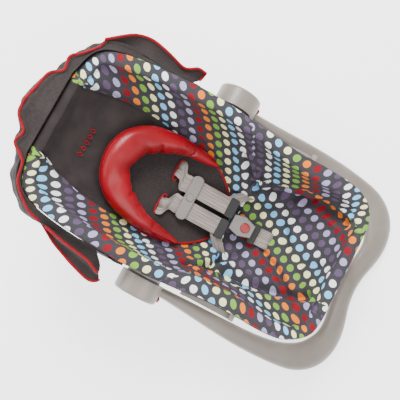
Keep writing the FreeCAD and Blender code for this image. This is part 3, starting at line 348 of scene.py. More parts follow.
def scaled(tree, vector, factor):
    """A vector or colour times a number."""
    return put(tree, "ShaderNodeVectorMath", {0: vector, "Scale": factor}, operation="SCALE").outputs[0]


def stretched(tree, vector, factors):
    return put(tree, "ShaderNodeVectorMath", {0: vector, 1: factors}, operation="MULTIPLY").outputs[0]


def clouds(tree, place, scale, detail=2.0):
    """Noise from 0 to 1 at each place."""
    return put(tree, "ShaderNodeTexNoise", {"Vector": place, "Scale": scale, "Detail": detail}).outputs[0]


def object_place(tree):
    return put(tree, "ShaderNodeTexCoord").outputs["Object"]


def fabric_place(tree):
    return put(tree, "ShaderNodeUVMap", uv_map="Fabric").outputs[0]


def ramp(tree, value, low, high, to_low=0.0, to_high=1.0):
    node = put(tree, "ShaderNodeMapRange", {0: value, 1: low, 2: high, 3: to_low, 4: to_high},
               interpolation_type="SMOOTHSTEP")
    return node.outputs[0]


def mix(tree, share, first, second):
    return put(tree, "ShaderNodeMix", {0: share, 6: first, 7: second}, data_type="RGBA").outputs[2]


def group(name, inputs, outputs):
    """An empty node group with its input and output nodes."""
    tree = bpy.data.node_groups.new(name, "ShaderNodeTree")
    for label, kind, default in inputs:
        socket = tree.interface.new_socket(name=label, in_out="INPUT", socket_type=kind)
        if default is not None:
            socket.default_value = default
    for label, kind in outputs:
        tree.interface.new_socket(name=label, in_out="OUTPUT", socket_type=kind)
    return tree, tree.nodes.new("NodeGroupInput").outputs, tree.nodes.new("NodeGroupOutput").inputs


VALUE = "NodeSocketFloat"
COLOR = "NodeSocketColor"
VECTOR = "NodeSocketVector"

# printed dots: distance between rows, radius, and the step along a row as a share of that distance
DOT_PITCH = 0.0202
DOT_RADIUS = 0.0077
DOT_STEP = 1.16
DOT_COLOURS = [colour(*shade) for shade in (
    (186, 18, 42, 0.5), (248, 132, 24, 0.9), (136, 190, 70, 0.8), (252, 252, 186, 0.95),
    (128, 206, 248, 0.92), (253, 254, 255, 0.98), (104, 84, 114, 0.75), (184, 172, 214, 0.85))]
WEAVE_DEPTH = 0.00025
SOFT_SHEEN = {"Sheen_Weight": 0.04}
SMOOTH_COAT = {"Coat_Weight": 0.12, "Coat_Roughness": 0.35}

# key, material name, base colour, worn colour, roughness, (pebble scale, bump depth, metallic), coat
PLASTICS = [
    ("shell_plastic", "shell plastic", (172, 162, 153, 0.6), (184, 174, 165, 0.6), 0.42, (), SMOOTH_COAT),
    ("handle_plastic", "handle plastic", (164, 152, 142, 0.55), (178, 166, 156, 0.55), 0.36, (),
     SMOOTH_COAT),
    ("harness_plastic", "harness plastic", (150, 143, 138, 0.5), (170, 163, 157, 0.5), 0.33,
     (1400.0, 0.00005), {}),
    ("dark_plastic", "dark plastic", (30, 28, 29), (44, 41, 42), 0.55, (1200.0,), {}),
    ("red_plastic", "red plastic", (192, 6, 12, 0.4), (206, 12, 18, 0.45), 0.32, (1500.0, 0.00004),
     {"Coat_Weight": 0.25}),
    ("ring_plastic", "ring plastic", (92, 90, 90), (112, 110, 108), 0.5, (1100.0,), {}),
    ("steel", "zinc plated steel", (150, 150, 152), (196, 196, 198), 0.34, (2600.0, 0.00002, 1.0), {}),
]
# key, material name, base colour, lighter colour, roughness, thread width
CLOTHS = [
    ("insert_fabric", "insert jersey", (54, 46, 46, 0.6), (68, 60, 59, 0.6), 0.85, 0.0009),
    ("hood_fabric", "hood cloth", (60, 53, 52, 0.6), (74, 66, 65, 0.6), 0.8, 0.0007),
    ("red piping", "red piping cloth", (190, 0, 26, 0.4), (212, 6, 36, 0.45), 0.6, 0.0011),
    ("dark binding", "dark binding cloth", (56, 48, 47), (74, 65, 63), 0.8, 0.0009),
]
GROUPS = {}
FINISHES = {}


def make_grain_group():
    """Moulded grain: a fine pebble and slow unevenness, as a height and a mask."""
    tree, came, goes = group(
        "moulded grain",
        [("Vector", VECTOR, None), ("Pebble Scale", VALUE, 900.0), ("Cloud Scale", VALUE, 9.0)],
        [("Height", VALUE), ("Cloud", VALUE)])
    pebble = put(tree, "ShaderNodeTexVoronoi", {"Vector": came[0], "Scale": came[1]})
    fine = clouds(tree, came[0], times(tree, came[1], 0.6))
    tree.links.new(add(tree, pebble.outputs["Distance"], times(tree, fine, 0.6)), goes[0])
    tree.links.new(clouds(tree, came[0], came[2], 3.0), goes[1])
    return tree


def make_weave_group():
    """Plain weave: over and under threads on the fabric's own map, as a height and a thread shade."""
    tree, came, goes = group("plain weave", [("Vector", VECTOR, None), ("Thread", VALUE, 0.0008)],
                             [("Height", VALUE), ("Shade", VALUE)])
    turns = scaled(tree, came[0], calc(tree, "DIVIDE", math.pi, came[1]))
    parts = put(tree, "ShaderNodeSeparateXYZ", {0: turns})
    weave = times(tree, calc(tree, "SINE", parts.outputs[0]), calc(tree, "SINE", parts.outputs[1]))
    slubs = clouds(tree, came[0], 260.0, 3.0)
    tree.links.new(add(tree, calc(tree, "ABSOLUTE", weave), times(tree, slubs, 0.7)), goes[0])
    tree.links.new(slubs, goes[1])
    return tree


def make_dot_group():
    """Staggered rows of coloured dots, each with an uneven printed edge and a worn middle."""
    tree, came, goes = group(
        "dot rows",
        [("Vector", VECTOR, None), ("Pitch", VALUE, DOT_PITCH), ("Radius", VALUE, DOT_RADIUS),
         ("Ground", COLOR, (0.05, 0.05, 0.05, 1))],
        [("Color", COLOR), ("Dot", VALUE)])
    place, pitch, size, dark = came[:4]
    parts = put(tree, "ShaderNodeSeparateXYZ", {0: place})
    step = times(tree, pitch, DOT_STEP)
    across = calc(tree, "DIVIDE", parts.outputs[0], pitch)
    along = calc(tree, "DIVIDE", parts.outputs[1], step)
    row = add(tree, calc(tree, "FLOOR", across), 64.0)
    stagger = times(tree, calc(tree, "MODULO", row, 2.0), 0.5)
    x = times(tree, calc(tree, "SUBTRACT", calc(tree, "FRACT", across), 0.5), pitch)
    y = calc(tree, "SUBTRACT", calc(tree, "FRACT", add(tree, along, stagger)), 0.5)
    y = times(tree, y, step)
    span = calc(tree, "SQRT", add(tree, times(tree, x, x), times(tree, y, y)))
    wobble = calc(tree, "SUBTRACT", clouds(tree, place, 420.0), 0.5)
    radius = add(tree, span, times(tree, wobble, 0.0007))
    dot = ramp(tree, radius, calc(tree, "SUBTRACT", size, 0.0003), size, 1.0, 0.0)
    kinds = len(DOT_COLOURS)
    kind = calc(tree, "DIVIDE", add(tree, calc(tree, "MODULO", row, kinds), 0.5), kinds)
    table = put(tree, "ShaderNodeValToRGB", {0: kind})
    table.color_ramp.interpolation = "CONSTANT"
    stops = table.color_ramp.elements
    while len(stops) < kinds:
        stops.new(0.5)
    for k, shade in enumerate(DOT_COLOURS):
        stops[k].position = k / kinds
        stops[k].color = shade
    from_ring = calc(tree, "ABSOLUTE", calc(tree, "SUBTRACT", radius, 0.0036))
    mottle = clouds(tree, place, 700.0, 4.0)
    ring = ramp(tree, from_ring, 0.0, 0.0011, 0.85, 1.0)
    worn = times(tree, ring, ramp(tree, mottle, 0.3, 0.7, 0.88, 1.04))
    ground = scaled(tree, dark, ramp(tree, mottle, 0.3, 0.7, 0.8, 1.25))
    tree.links.new(mix(tree, dot, ground, scaled(tree, table.outputs[0], worn)), goes[0])
    tree.links.new(dot, goes[1])
    return tree



def nested(tree, name, maker, place, **values):
    """A shared node group's outputs, with its place and its own values."""
    if name not in GROUPS:
        GROUPS[name] = maker()
    sockets = {key.replace("_", " "): value for key, value in values.items()}
    return put(tree, "ShaderNodeGroup", {0: place, **sockets}, node_tree=GROUPS[name]).outputs


def begin(name, roughness, metallic=0.0, **constants):
    """A new material with its shader's constants set; underscores in a key stand for spaces."""
    material = bpy.data.materials.new(name)
    material.use_nodes = True
    tree = material.node_tree
    shader = tree.nodes["Principled BSDF"]
    for key, value in dict(Roughness=roughness, Metallic=metallic, **constants).items():
        shader.inputs[key.replace("_", " ")].default_value = value
    return material, tree, shader


def bumped(tree, shader, height, strength, distance):
    bump = put(tree, "ShaderNodeBump", {"Height": height, "Strength": strength, "Distance": distance})
    tree.links.new(bump.outputs[0], shader.inputs["Normal"])


def coloured(tree, shader, share, first, second):
    tree.links.new(mix(tree, share, first, second), shader.inputs["Base Color"])


def plastic(name, base, worn, roughness, pebble=900.0, depth=0.00008, metallic=0.0, **constants):
    """Moulded plastic or metal with grain, clouding and slightly uneven gloss."""
    material, tree, shader = begin(name, roughness, metallic, **constants)
    grain, cloud = nested(tree, "grain", make_grain_group, object_place(tree),
                          Pebble_Scale=pebble, Cloud_Scale=11.0)
    coloured(tree, shader, ramp(tree, cloud, 0.35, 0.68), base, worn)
    gloss = ramp(tree, cloud, 0.3, 0.7, roughness * 0.88, min(1.0, roughness * 1.14))
    tree.links.new(gloss, shader.inputs["Roughness"])
    bumped(tree, shader, grain, 0.35, depth)
    return material


def cloth(name, base, lighter, roughness, thread=0.0009):
    """Woven cloth on the piece's own map, with slubs and a soft sheen."""
    material, tree, shader = begin(name, roughness, Specular_IOR_Level=0.2, **SOFT_SHEEN)
    weave, slubs = nested(tree, "weave", make_weave_group, fabric_place(tree), Thread=thread)
    cloud = clouds(tree, object_place(tree), 14.0, 4.0)
    share = add(tree, times(tree, slubs, 0.5), times(tree, cloud, 0.5))
    coloured(tree, shader, ramp(tree, share, 0.38, 0.64), base, lighter)
    bumped(tree, shader, weave, 0.5, WEAVE_DEPTH)
    return material


def dotted_material():
    """Dotted print with a plain panel, read from the cover's own map and mask."""
    material, tree, shader = begin("dotted cover cloth", 0.82, Sheen_Roughness=0.45,
                                   Specular_IOR_Level=0.25, **SOFT_SHEEN)
    place = fabric_place(tree)
    dots = nested(tree, "dots", make_dot_group, place, Ground=colour(72, 70, 76, 0.62))
    weave = nested(tree, "weave", make_weave_group, place)
    plain = put(tree, "ShaderNodeAttribute", attribute_name="plain").outputs["Fac"]
    cloud = clouds(tree, object_place(tree), 24.0, 4.0)
    panel = mix(tree, ramp(tree, cloud, 0.35, 0.65), colour(57, 49, 49, 0.6), colour(67, 59, 58, 0.6))
    coloured(tree, shader, ramp(tree, plain, -0.0006, 0.0006), dots[0], panel)
    bumped(tree, shader, add(tree, weave[0], times(tree, dots[1], 0.6)), 0.5, WEAVE_DEPTH)
    return material


def webbing_material():
    """Ribbed webbing: ribs along its length, a fine cross weave, painted sheen as lighter streaks along it,
    and painted shade darkening the grooves between the ribs.
    """
    material, tree, shader = begin("ribbed webbing", 0.55, Sheen_Roughness=0.35, **SOFT_SHEEN)
    place = fabric_place(tree)
    parts = put(tree, "ShaderNodeSeparateXYZ", {0: place})
    ribs = calc(tree, "SINE", times(tree, parts.outputs[0], 2 * math.pi / 0.0031))
    picks = calc(tree, "SINE", times(tree, parts.outputs[1], 2 * math.pi / 0.0012))
    # painted sheen: lighter streaks along the strap stand in for its sheen bands
    painted_sheen_streak = clouds(tree, stretched(tree, place, (420.0, 16.0, 1.0)), 1.0, 3.0)
    # painted shade: the ribs make the colour darker in their grooves and lighter on their crowns
    sheen_and_groove_shade = ramp(tree, add(tree, times(tree, ribs, 0.10), painted_sheen_streak), 0.28, 0.74)
    # the darker colour is the strap's own taupe; the lighter colour is the painted sheen
    coloured(tree, shader, sheen_and_groove_shade, colour(134, 120, 113, 0.52), colour(200, 187, 178, 0.62))
    bumped(tree, shader, add(tree, ribs, times(tree, picks, 0.35)), 0.55, 0.00035)
    return material


def satin_material():
    """Red satin with a fine stretched thread and slow unevenness."""
    material, tree, shader = begin("red satin", 0.36, Sheen_Roughness=0.3, Coat_Weight=0.04,
                                   Specular_IOR_Level=0.35, **SOFT_SHEEN)
    place = object_place(tree)
    cloud = clouds(tree, place, 13.0, 3.0)
    fine = clouds(tree, stretched(tree, place, (1500.0, 380.0, 900.0)), 1.0)
    coloured(tree, shader, ramp(tree, cloud, 0.3, 0.7), colour(196, 0, 28, 0.36), colour(214, 2, 36, 0.42))
    bumped(tree, shader, add(tree, fine, times(tree, cloud, 6.0)), 0.4, 0.0003)
    return material


def finish_table():
    """Every material, by the record's slot names and by the names of the trims."""
    finishes = {key: plastic(name, colour(*base), colour(*worn), roughness, *grain, **coat)
                for key, name, base, worn, roughness, grain, coat in PLASTICS}
    finishes.update({key: cloth(name, colour(*base), colour(*lighter), roughness, thread)
                     for key, name, base, lighter, roughness, thread in CLOTHS})
    finishes.update(dotted_cover=dotted_material(), red_satin=satin_material(), webbing=webbing_material())
    return finishes


def dress(piece, finish):
    piece.data.materials.clear()
    piece.data.materials.append(FINISHES[finish])


# ---------------------------------------------------------------- cover
ROWS = 201
COLUMNS = 151
HIP_LINE = 0.052
FOLDS = [
    # (plan points, depth, width)
    ([(0.0, 0.150), (0.009, 0.142), (0.017, 0.139), (0.030, 0.126), (0.047, 0.105)], 0.007, 0.006),
    ([(0.047, 0.105), (0.062, 0.097), (0.109, 0.113), (0.153, 0.123), (0.176, 0.126), (0.203, 0.125),
      (0.244, 0.108), (0.262, 0.098)], 0.008, 0.007),
    ([(0.045, 0.138), (0.052, 0.132), (0.054, 0.112), (0.057, 0.093)], 0.006, 0.005),
    ([(0.061, 0.052), (0.094, 0.064), (0.126, 0.083)], 0.005, 0.006),
    ([(0.138, -0.020), (0.154, -0.036), (0.180, -0.046), (0.210, -0.074), (0.221, -0.082)], 0.006, 0.006),
    ([(0.0, -0.150), (0.019, -0.142), (0.037, -0.139), (0.044, -0.122), (0.059, -0.096)], 0.007, 0.006),
    ([(0.037, -0.139), (0.067, -0.118), (0.110, -0.115), (0.161, -0.104), (0.194, -0.097), (0.237, -0.084),
      (0.262, -0.068)], 0.008, 0.007),
    ([(0.153, 0.123), (0.130, 0.103), (0.139, 0.078), (0.160, 0.041), (0.184, 0.004)], 0.006, 0.007),
    ([(0.176, 0.126), (0.163, 0.109), (0.168, 0.072)], 0.004, 0.005),
    ([(0.206, -0.008), (0.228, -0.008), (0.258, -0.004)], 0.004, 0.006),
    ([(0.060, -0.096), (0.085, -0.070), (0.098, -0.052)], 0.005, 0.006),
    ([(0.066, 0.088), (0.080, 0.064), (0.090, 0.040)], 0.004, 0.006),
    ([(0.075, 0.130), (0.082, 0.118), (0.088, 0.104)], 0.004, 0.004),
    ([(0.070, -0.140), (0.078, -0.124), (0.086, -0.108)], 0.004, 0.004),
]
# along and across the edge of the lobe on each side
LOBE_EDGES = {
    1: ([0.047, 0.109, 0.153, 0.203, 0.244, 0.262], [0.100, 0.113, 0.123, 0.125, 0.108, 0.098]),
    -1: ([0.05, 0.110, 0.161, 0.194, 0.237, 0.262], [0.118, 0.115, 0.104, 0.097, 0.084, 0.068]),
}
# half width of the plain back panel along the back
PANEL_X = [-0.34, -0.31, -0.286, -0.243, -0.189, -0.15, -0.12, -0.05]
PANEL_Y = [0.066, 0.072, 0.086, 0.099, 0.104, 0.102, 0.094, 0.060]


def fold_x(y):
    return HIP_LINE - np.maximum(0.0, np.abs(y) - 0.10)


def lobe_y(x, side):
    return side * np.interp(x, *LOBE_EDGES[side])


def insert_share(x, y):
    return np.hypot((x - INSERT_X) / (INSERT_LENGTH / 2), (y - INSERT_Y) / INSERT_HALF_WIDTH)


def cover_swell(points, s):
    """Height of the padding over its plain thickness: bolsters, lobes, folds and wrinkles."""
    x = points[..., 0]
    y = points[..., 1]
    border = np.interp(x, PANEL_X, PANEL_Y)
    rim = RIM_Y(s)
    share = np.clip((np.abs(y) - border) / np.maximum(rim - 0.016 - border, 0.01), 0, 1)
    in_back = 1 - ease(x, fold_x(y) - 0.02, fold_x(y) + 0.01)
    bolster = 0.009 * np.sin(math.pi * share ** 0.8) ** 0.75 * (np.abs(y) > border)
    swell = bolster * in_back
    gap = np.abs(np.abs(y) - border)
    seam = np.exp(-(gap / 0.004) ** 2) * in_back * (x < -0.01)
    swell -= 0.0035 * seam
    foot = 1 - in_back
    lobe_edge = np.where(y > 0, lobe_y(x, 1), -lobe_y(x, -1))
    into = np.clip((np.abs(y) - lobe_edge) / 0.045, 0, 1)
    swell += foot * 0.008 * np.sin(math.pi * into ** 0.7) * (into > 0)
    middle = np.clip(1 - np.abs(y) / np.maximum(lobe_edge, 0.02), 0, 1)
    swell += foot * 0.004 * np.sin(math.pi * middle) * ease(x, 0.10, 0.17)
    for plan, depth, width in FOLDS:
        line = catmull(np.array(plan), 24)
        near = above(line[:, 0], line[:, 1], np.full(24, PAD_TOP))
        d = distance_to_line(points, near)
        depth *= 1.5
        beside = np.exp(-((d - 2.3 * width) / width) ** 2)
        swell += depth * (0.4 * beside - np.exp(-(d / width) ** 2))
    slow = wander(points, 0.050, 1)
    fine = wander(points, 0.017, 2)
    ruffle = wander(points, 0.010, 3, (1.0, 0.35, 0.35))
    hips = np.exp(-((x - 0.05) / 0.05) ** 2) * ease(np.abs(y), 0.05, 0.10)
    tips = ease(x, 0.16, 0.24)
    swell += slow * 0.0026 + fine * (0.0008 + 0.0024 * hips + 0.0016 * tips)
    swell += ruffle * (0.0016 * hips + 0.0008 * np.exp(-(gap / 0.014) ** 2) * in_back)
    drape = wander(points, 0.035, 4, (0.45, 1.0, 1.0))
    panel = (np.abs(y) < border) * in_back
    swell += panel * (drape * 0.0022 - 0.0016)
    under = 1 - ease(insert_share(x, y), 1.0, 1.10)
    return swell * (1 - under) + np.minimum(swell, -0.0004) * under


def loop_indices(rows, columns):
    """Border of a grid, once round, as pairs of row and column."""
    loop = [(i, columns - 1) for i in range(rows)]
    loop += [(rows - 1, j) for j in range(columns - 2, -1, -1)]
    loop += [(i, 0) for i in range(rows - 2, -1, -1)]
    loop += [(0, j) for j in range(1, columns - 1)]
    return loop


def cover_shape():
    """Vertices and faces of the closed padded cover, and what its map and binding need."""
    s, turn = np.meshgrid(np.linspace(0, 1, ROWS), np.linspace(-90, 90, COLUMNS), indexing="ij")
    base = bucket(s, turn)
    normal = bucket_normal(s, turn)
    flat_top = base + normal * PAD_TOP
    top = flat_top + normal * cover_swell(flat_top, s)[..., None]
    low = base + normal * PAD_GAP
    loop = loop_indices(ROWS, COLUMNS)
    index = np.array([i * COLUMNS + j for i, j in loop])
    rim = base.reshape(-1, 3)[index]
    plan = rim[:, :2]
    tangent = unit(np.roll(plan, -2, 0) - np.roll(plan, 2, 0))
    out = np.stack([tangent[:, 1], -tangent[:, 0], np.zeros(len(loop))], -1)
    out *= np.sign((out[:, :2] * (plan - np.array([-0.02, 0.0]))).sum(1))[:, None]
    foot = ease(rim[:, 0], -0.03, 0.05)
    outer = 0.0041 + 0.0020 * foot
    crown = 0.006 + 0.0035 * foot - 0.0028 * ease(-rim[:, 0], 0.300, 0.325)
    tucked = ease(-rim[:, 0], 0.12, 0.145) * ease(np.abs(rim[:, 1]), 0.13, 0.15)
    skirt = 0.008 + 0.008 * foot + 0.022 * tucked
    ripple = 0.0012 * np.array([noise.noise(Vector(p) * 38.0) for p in rim]) * foot
    start = ((top.reshape(-1, 3)[index] - rim) * out).sum(1)
    none = np.zeros(len(loop))

    def ring(reach, rise):
        return rim + out * (reach + none)[:, None] + np.array([0, 0, 1]) * (rise + none)[:, None]

    # from the padding's edge over the rim, down the skirt, round the hem and back up under the rim
    rings = [ring(start * reach, crown * rise) for reach, rise in ((0.90, 0.50), (0.66, 0.86), (0.36, 1.0))]
    rings += [ring(outer * reach + ripple, crown * rise)
              for reach, rise in ((0.30, 0.97), (0.78, 0.66), (0.98, 0.16))]
    rings += [ring(outer * reach + ripple, -skirt * drop)
              for reach, drop in ((1.0, 0.35), (0.97, 0.75), (0.93, 1.0))]
    hem = rings[-1]
    rings += [ring(0.0043, -skirt * drop) for drop in (1.0, 0.4)]
    rings += [ring(reach, rise) for reach, rise in ((0.0043, 0.0009), (0.0022, 0.0014), (-0.0004, 0.0010))]
    verts = [top.reshape(-1, 3)] + rings + [low.reshape(-1, 3)]
    first_ring = ROWS * COLUMNS
    first_low = first_ring + len(rings) * len(loop)
    faces = grid_faces(ROWS, COLUMNS)
    previous = index
    for r in range(len(rings)):
        here = first_ring + r * len(loop) + np.arange(len(loop))
        faces += bridge(previous, here)
        previous = here
    faces += bridge(previous, first_low + index)
    faces += grid_faces(ROWS, COLUMNS, first_low, flip=True)
    return {"verts": np.vstack(verts), "faces": faces, "plan": flat_top, "index": index,
            "rings": rings, "out": out, "hem": hem}


def bridge(first, second):
    """Faces between two closed loops of the same count."""
    count = len(first)
    return [[int(first[k]), int(first[(k + 1) % count]), int(second[(k + 1) % count]), int(second[k])]
            for k in range(count)]


def cover_map(flat_top):
    """Unrolled lengths across the cover, and along it at three places across, for the printed cloth."""
    middle = COLUMNS // 2
    step = np.linalg.norm(np.diff(flat_top, axis=1), axis=-1)
    across = np.concatenate([np.zeros((ROWS, 1)), np.cumsum(step, 1)], 1)
    across -= across[:, middle:middle + 1]

    def along_at(degrees):
        j = int(np.argmin(np.abs(np.linspace(-90, 90, COLUMNS) - degrees)))
        run = run_along(flat_top[:, j])
        run = run - run[int(np.argmin(np.abs(flat_top[:, j, 0] - HIP_LINE)))]
        return np.repeat(run, COLUMNS)

    return across.reshape(-1), {"back": along_at(84), "seat": along_at(35), "lobe": along_at(86)}


# cloth panels in the order the map reads them: row direction along and across, which way the colours
# run, and a place in plan with its colour row
PANELS = {
    "back left": ((0.36, 0.93), 1, (-0.264, 0.133), 0),
    "back right": ((0.50, 0.866), 1, (-0.178, -0.145), 0),
    "seat": ((0.89, 0.455), 1, (0.217, 0.094), 0),
    "lobe left": ((0.26, 0.966), -1, (0.163, 0.137), 0),
    "lobe right": ((0.90, 0.44), -1, (0.170, -0.137), 5),
}


def cover_uv(piece, shape):
    """The printed cloth's map: each panel with its own row direction, laid out from its anchor."""
    index = shape["index"]
    out = shape["out"][:, :2]
    v, along = cover_map(shape["plan"])
    plan = shape["plan"].reshape(-1, 3)
    edge_out = unit(out)
    tables = []
    for name, ((p, q), way, anchor, row) in PANELS.items():
        u = along[name.split()[0]]
        inner = np.stack([u, v], -1)
        both = [inner]
        last = plan[index]
        extra = np.zeros(len(index))
        for here in shape["rings"]:
            extra = extra + np.linalg.norm(here - last, axis=1)
            last = here
            both.append(inner[index] + edge_out * extra[:, None])
        both = np.vstack(both + [inner])
        c = way * (q * both[:, 0] + p * both[:, 1])
        d = p * both[:, 0] - q * both[:, 1]
        near = int(np.argmin(np.hypot(plan[:, 0] - anchor[0], plan[:, 1] - anchor[1])))
        tables.append(np.stack([c - c[near] + (row + 0.5) * DOT_PITCH, d], -1))
    layer = piece.data.uv_layers.new(name="Fabric")
    uv = np.zeros((len(piece.data.loops), 2))
    for polygon in piece.data.polygons:
        x, y = polygon.center[:2]
        if x < fold_x(y):
            panel = 0 if y > 0 else 1
        elif y > lobe_y(x, 1) or y < lobe_y(x, -1):
            panel = 3 if y > 0 else 4
        else:
            panel = 2
        for corner in polygon.loop_indices:
            uv[corner] = tables[panel][piece.data.loops[corner].vertex_index]
    layer.data.foreach_set("uv", uv.reshape(-1))


def plain_mask(points):
    """Positive on the plain back panel and on the tucked-in skirt below the hood, negative on the print."""
    x, y, z = points.T
    side = np.interp(x, PANEL_X, PANEL_Y) - np.abs(y)
    rim = RIM_Z(np.clip((x - HEAD_X) / LENGTH, 0, 1))
    skirt = np.minimum(np.minimum(rim - 0.007 - z, np.abs(y) - 0.165), -0.12 - x)
    return np.maximum(np.minimum(side, -0.02 - x), skirt)


class CARSEAT_OT_cover(bpy.types.Operator):
    """Padded seat cover with its dotted print, plain back panel, folds and bound edge"""
    bl_idname = "carseat.cover"
    bl_label = "Seat cover"

    def execute(self, context):
        shape = cover_shape()
        cover = new_mesh_object("seat_cover", shape["verts"], shape["faces"], "shell", "dotted_cover")
        cover_uv(cover, shape)
        write_mask(cover, "plain", plain_mask(shape["verts"]))
        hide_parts("seat_pad")
        hem = shape["hem"]
        keep = [k for k in range(len(hem)) if hem[k, 0] > -0.085]
        start = next(k for k in range(len(keep)) if keep[k] - keep[k - 1] != 1 and hem[keep[k], 1] > 0)
        keep = keep[start:] + keep[:start]
        path = hem[keep] + shape["out"][keep] * 0.0004
        path = catmull(path[::6], 260)
        tube("cover_binding", path, 0.0021, "shell", "dotted_cover", "dark binding", flat=1.5)
        self.motif()
        return {"FINISHED"}

    def motif(self):
        """A short row of stitched diamonds on the plain panel."""
        verts = []
        faces = []
        size = 0.0044
        for k in range(5):
            for share, lift in ((1.0, 0.0), (0.94, 0.0009), (0.62, 0.0009), (0.56, 0.0)):
                for dx, dy in ((0, -size), (size * 1.3, 0), (0, size), (-size * 1.3, 0)):
                    x = -0.285 + dx * share
                    y = -0.036 + 0.013 * k + dy * share
                    verts.append(above(x, y, PAD_TOP + 0.0002 + lift))
            for r in range(4):
                a = 16 * k + 4 * r
                b = 16 * k + 4 * ((r + 1) % 4)
                faces += [[a + j, a + (j + 1) % 4, b + (j + 1) % 4, b + j] for j in range(4)]
        motif = new_mesh_object("panel_stitching", verts, faces, "shell", "dotted_cover",
                                "red piping", smooth=False)
        write_uv(motif, [(v[1], v[0]) for v in verts])


# ---------------------------------------------------------------- insert and pillow
INSERT_X = -0.104
INSERT_Y = -0.005
INSERT_LENGTH = 0.256
INSERT_HALF_WIDTH = 0.117
INSERT_BASE = 0.0206
SLOT_X = -0.11735
SLOT_Y = 0.044
SLIT_HALF = 0.026
SLIT_WIDE = 0.0055


class CARSEAT_OT_insert(bpy.types.Operator):
    """Oval infant insert with piped edge and piped strap slits"""
    bl_idname = "carseat.insert"
    bl_label = "Infant insert"

    def execute(self, context):
        rings, spokes = 46, 128
        angle = around(spokes)
        share = np.linspace(0.012, 1.0, rings)
        x = INSERT_X + INSERT_LENGTH / 2 * share[:, None] * np.cos(angle)[None]
        y = INSERT_Y + INSERT_HALF_WIDTH * share[:, None] * np.sin(angle)[None]
        low = above(x, y, np.full(x.shape, INSERT_BASE))
        crown = 0.0042 + 0.0050 * np.clip(1 - (share / 0.95) ** 3, 0, 1)[:, None]
        height = crown + 0.0016 * wander(low, 0.030, 5, (1.0, 0.5, 1.0)) + 0.0008 * wander(low, 0.012, 6)
        for side in (1, -1):
            d = np.hypot((x - SLOT_X) / 0.6, np.maximum(np.abs(y - side * SLOT_Y) - 0.02, 0))
            height -= 0.0030 * np.exp(-(d / 0.010) ** 2)
        height -= 0.0014 * np.exp(-(y / 0.006) ** 2) * ease(x, -0.06, -0.02)
        top = above(x, y, INSERT_BASE + np.maximum(height, 0.0030))
        first = rings * spokes
        border = np.arange(first - spokes, first)
        faces = grid_faces(rings, spokes, close=True)
        faces += grid_faces(rings, spokes, first, flip=True, close=True)
        faces += [list(range(spokes)), [first + j for j in range(spokes)]]
        faces += bridge(border, first + border)
        verts = np.vstack([top.reshape(-1, 3), low.reshape(-1, 3)])
        pad = new_mesh_object("infant_insert", verts, faces, "shell", "insert_fabric")
        write_uv(pad, verts[:, :2])
        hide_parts("body_insert")
        turn = around(220)
        edge_x = INSERT_X + (INSERT_LENGTH / 2 + 0.001) * np.cos(turn)
        edge_y = INSERT_Y + (INSERT_HALF_WIDTH + 0.001) * np.sin(turn)
        edge = above(edge_x, edge_y, np.full(220, INSERT_BASE + 0.0026))
        tube("insert_piping", edge, 0.0025, "shell", "insert_fabric", "red piping", closed=True)
        turn = around(72)
        for side, name in ((1, "left"), (-1, "right")):
            slit_x = SLOT_X + SLIT_WIDE * np.sin(turn) + 0.003
            slit_y = side * SLOT_Y + SLIT_HALF * np.sign(np.cos(turn)) * np.abs(np.cos(turn)) ** 0.6
            line = above(slit_x, slit_y, np.full(72, INSERT_BASE + 0.0078))
            tube("slit_piping_" + name, line, 0.0019, "shell", "insert_fabric", "red piping", True, 8)
        return {"FINISHED"}


PILLOW_RADIUS = 0.032
PILLOW_ROWS = 150
PILLOW_SIDES = 44
# back and across the insert, and the share of the full radius there
PILLOW_PATH = [
    (0.060, 0.97, 0.14), (0.034, 0.955, 0.30), (-0.002, 0.90, 0.50), (-0.042, 0.81, 0.70),
    (-0.088, 0.62, 0.90), (-0.119, 0.33, 0.98), (-0.129, 0.0, 1.0),
]
# row, depth and width
PILLOW_CREASES = [
    (57, 0.0050, 1.5), (66, 0.0035, 1.3), (75, 0.0055, 1.6), (86, 0.0045, 1.4), (95, 0.0035, 1.5),
    (45, 0.0022, 1.6), (108, 0.0022, 1.8),
]
CLOTH_FRAMES = 20
CLOTH_SETTINGS = {
    "quality": 6, "mass": 0.3, "tension_stiffness": 12, "compression_stiffness": 8, "shear_stiffness": 5,
    "bending_stiffness": 0.4, "use_pressure": True, "uniform_pressure_force": 4, "shrink_min": -0.05,
}


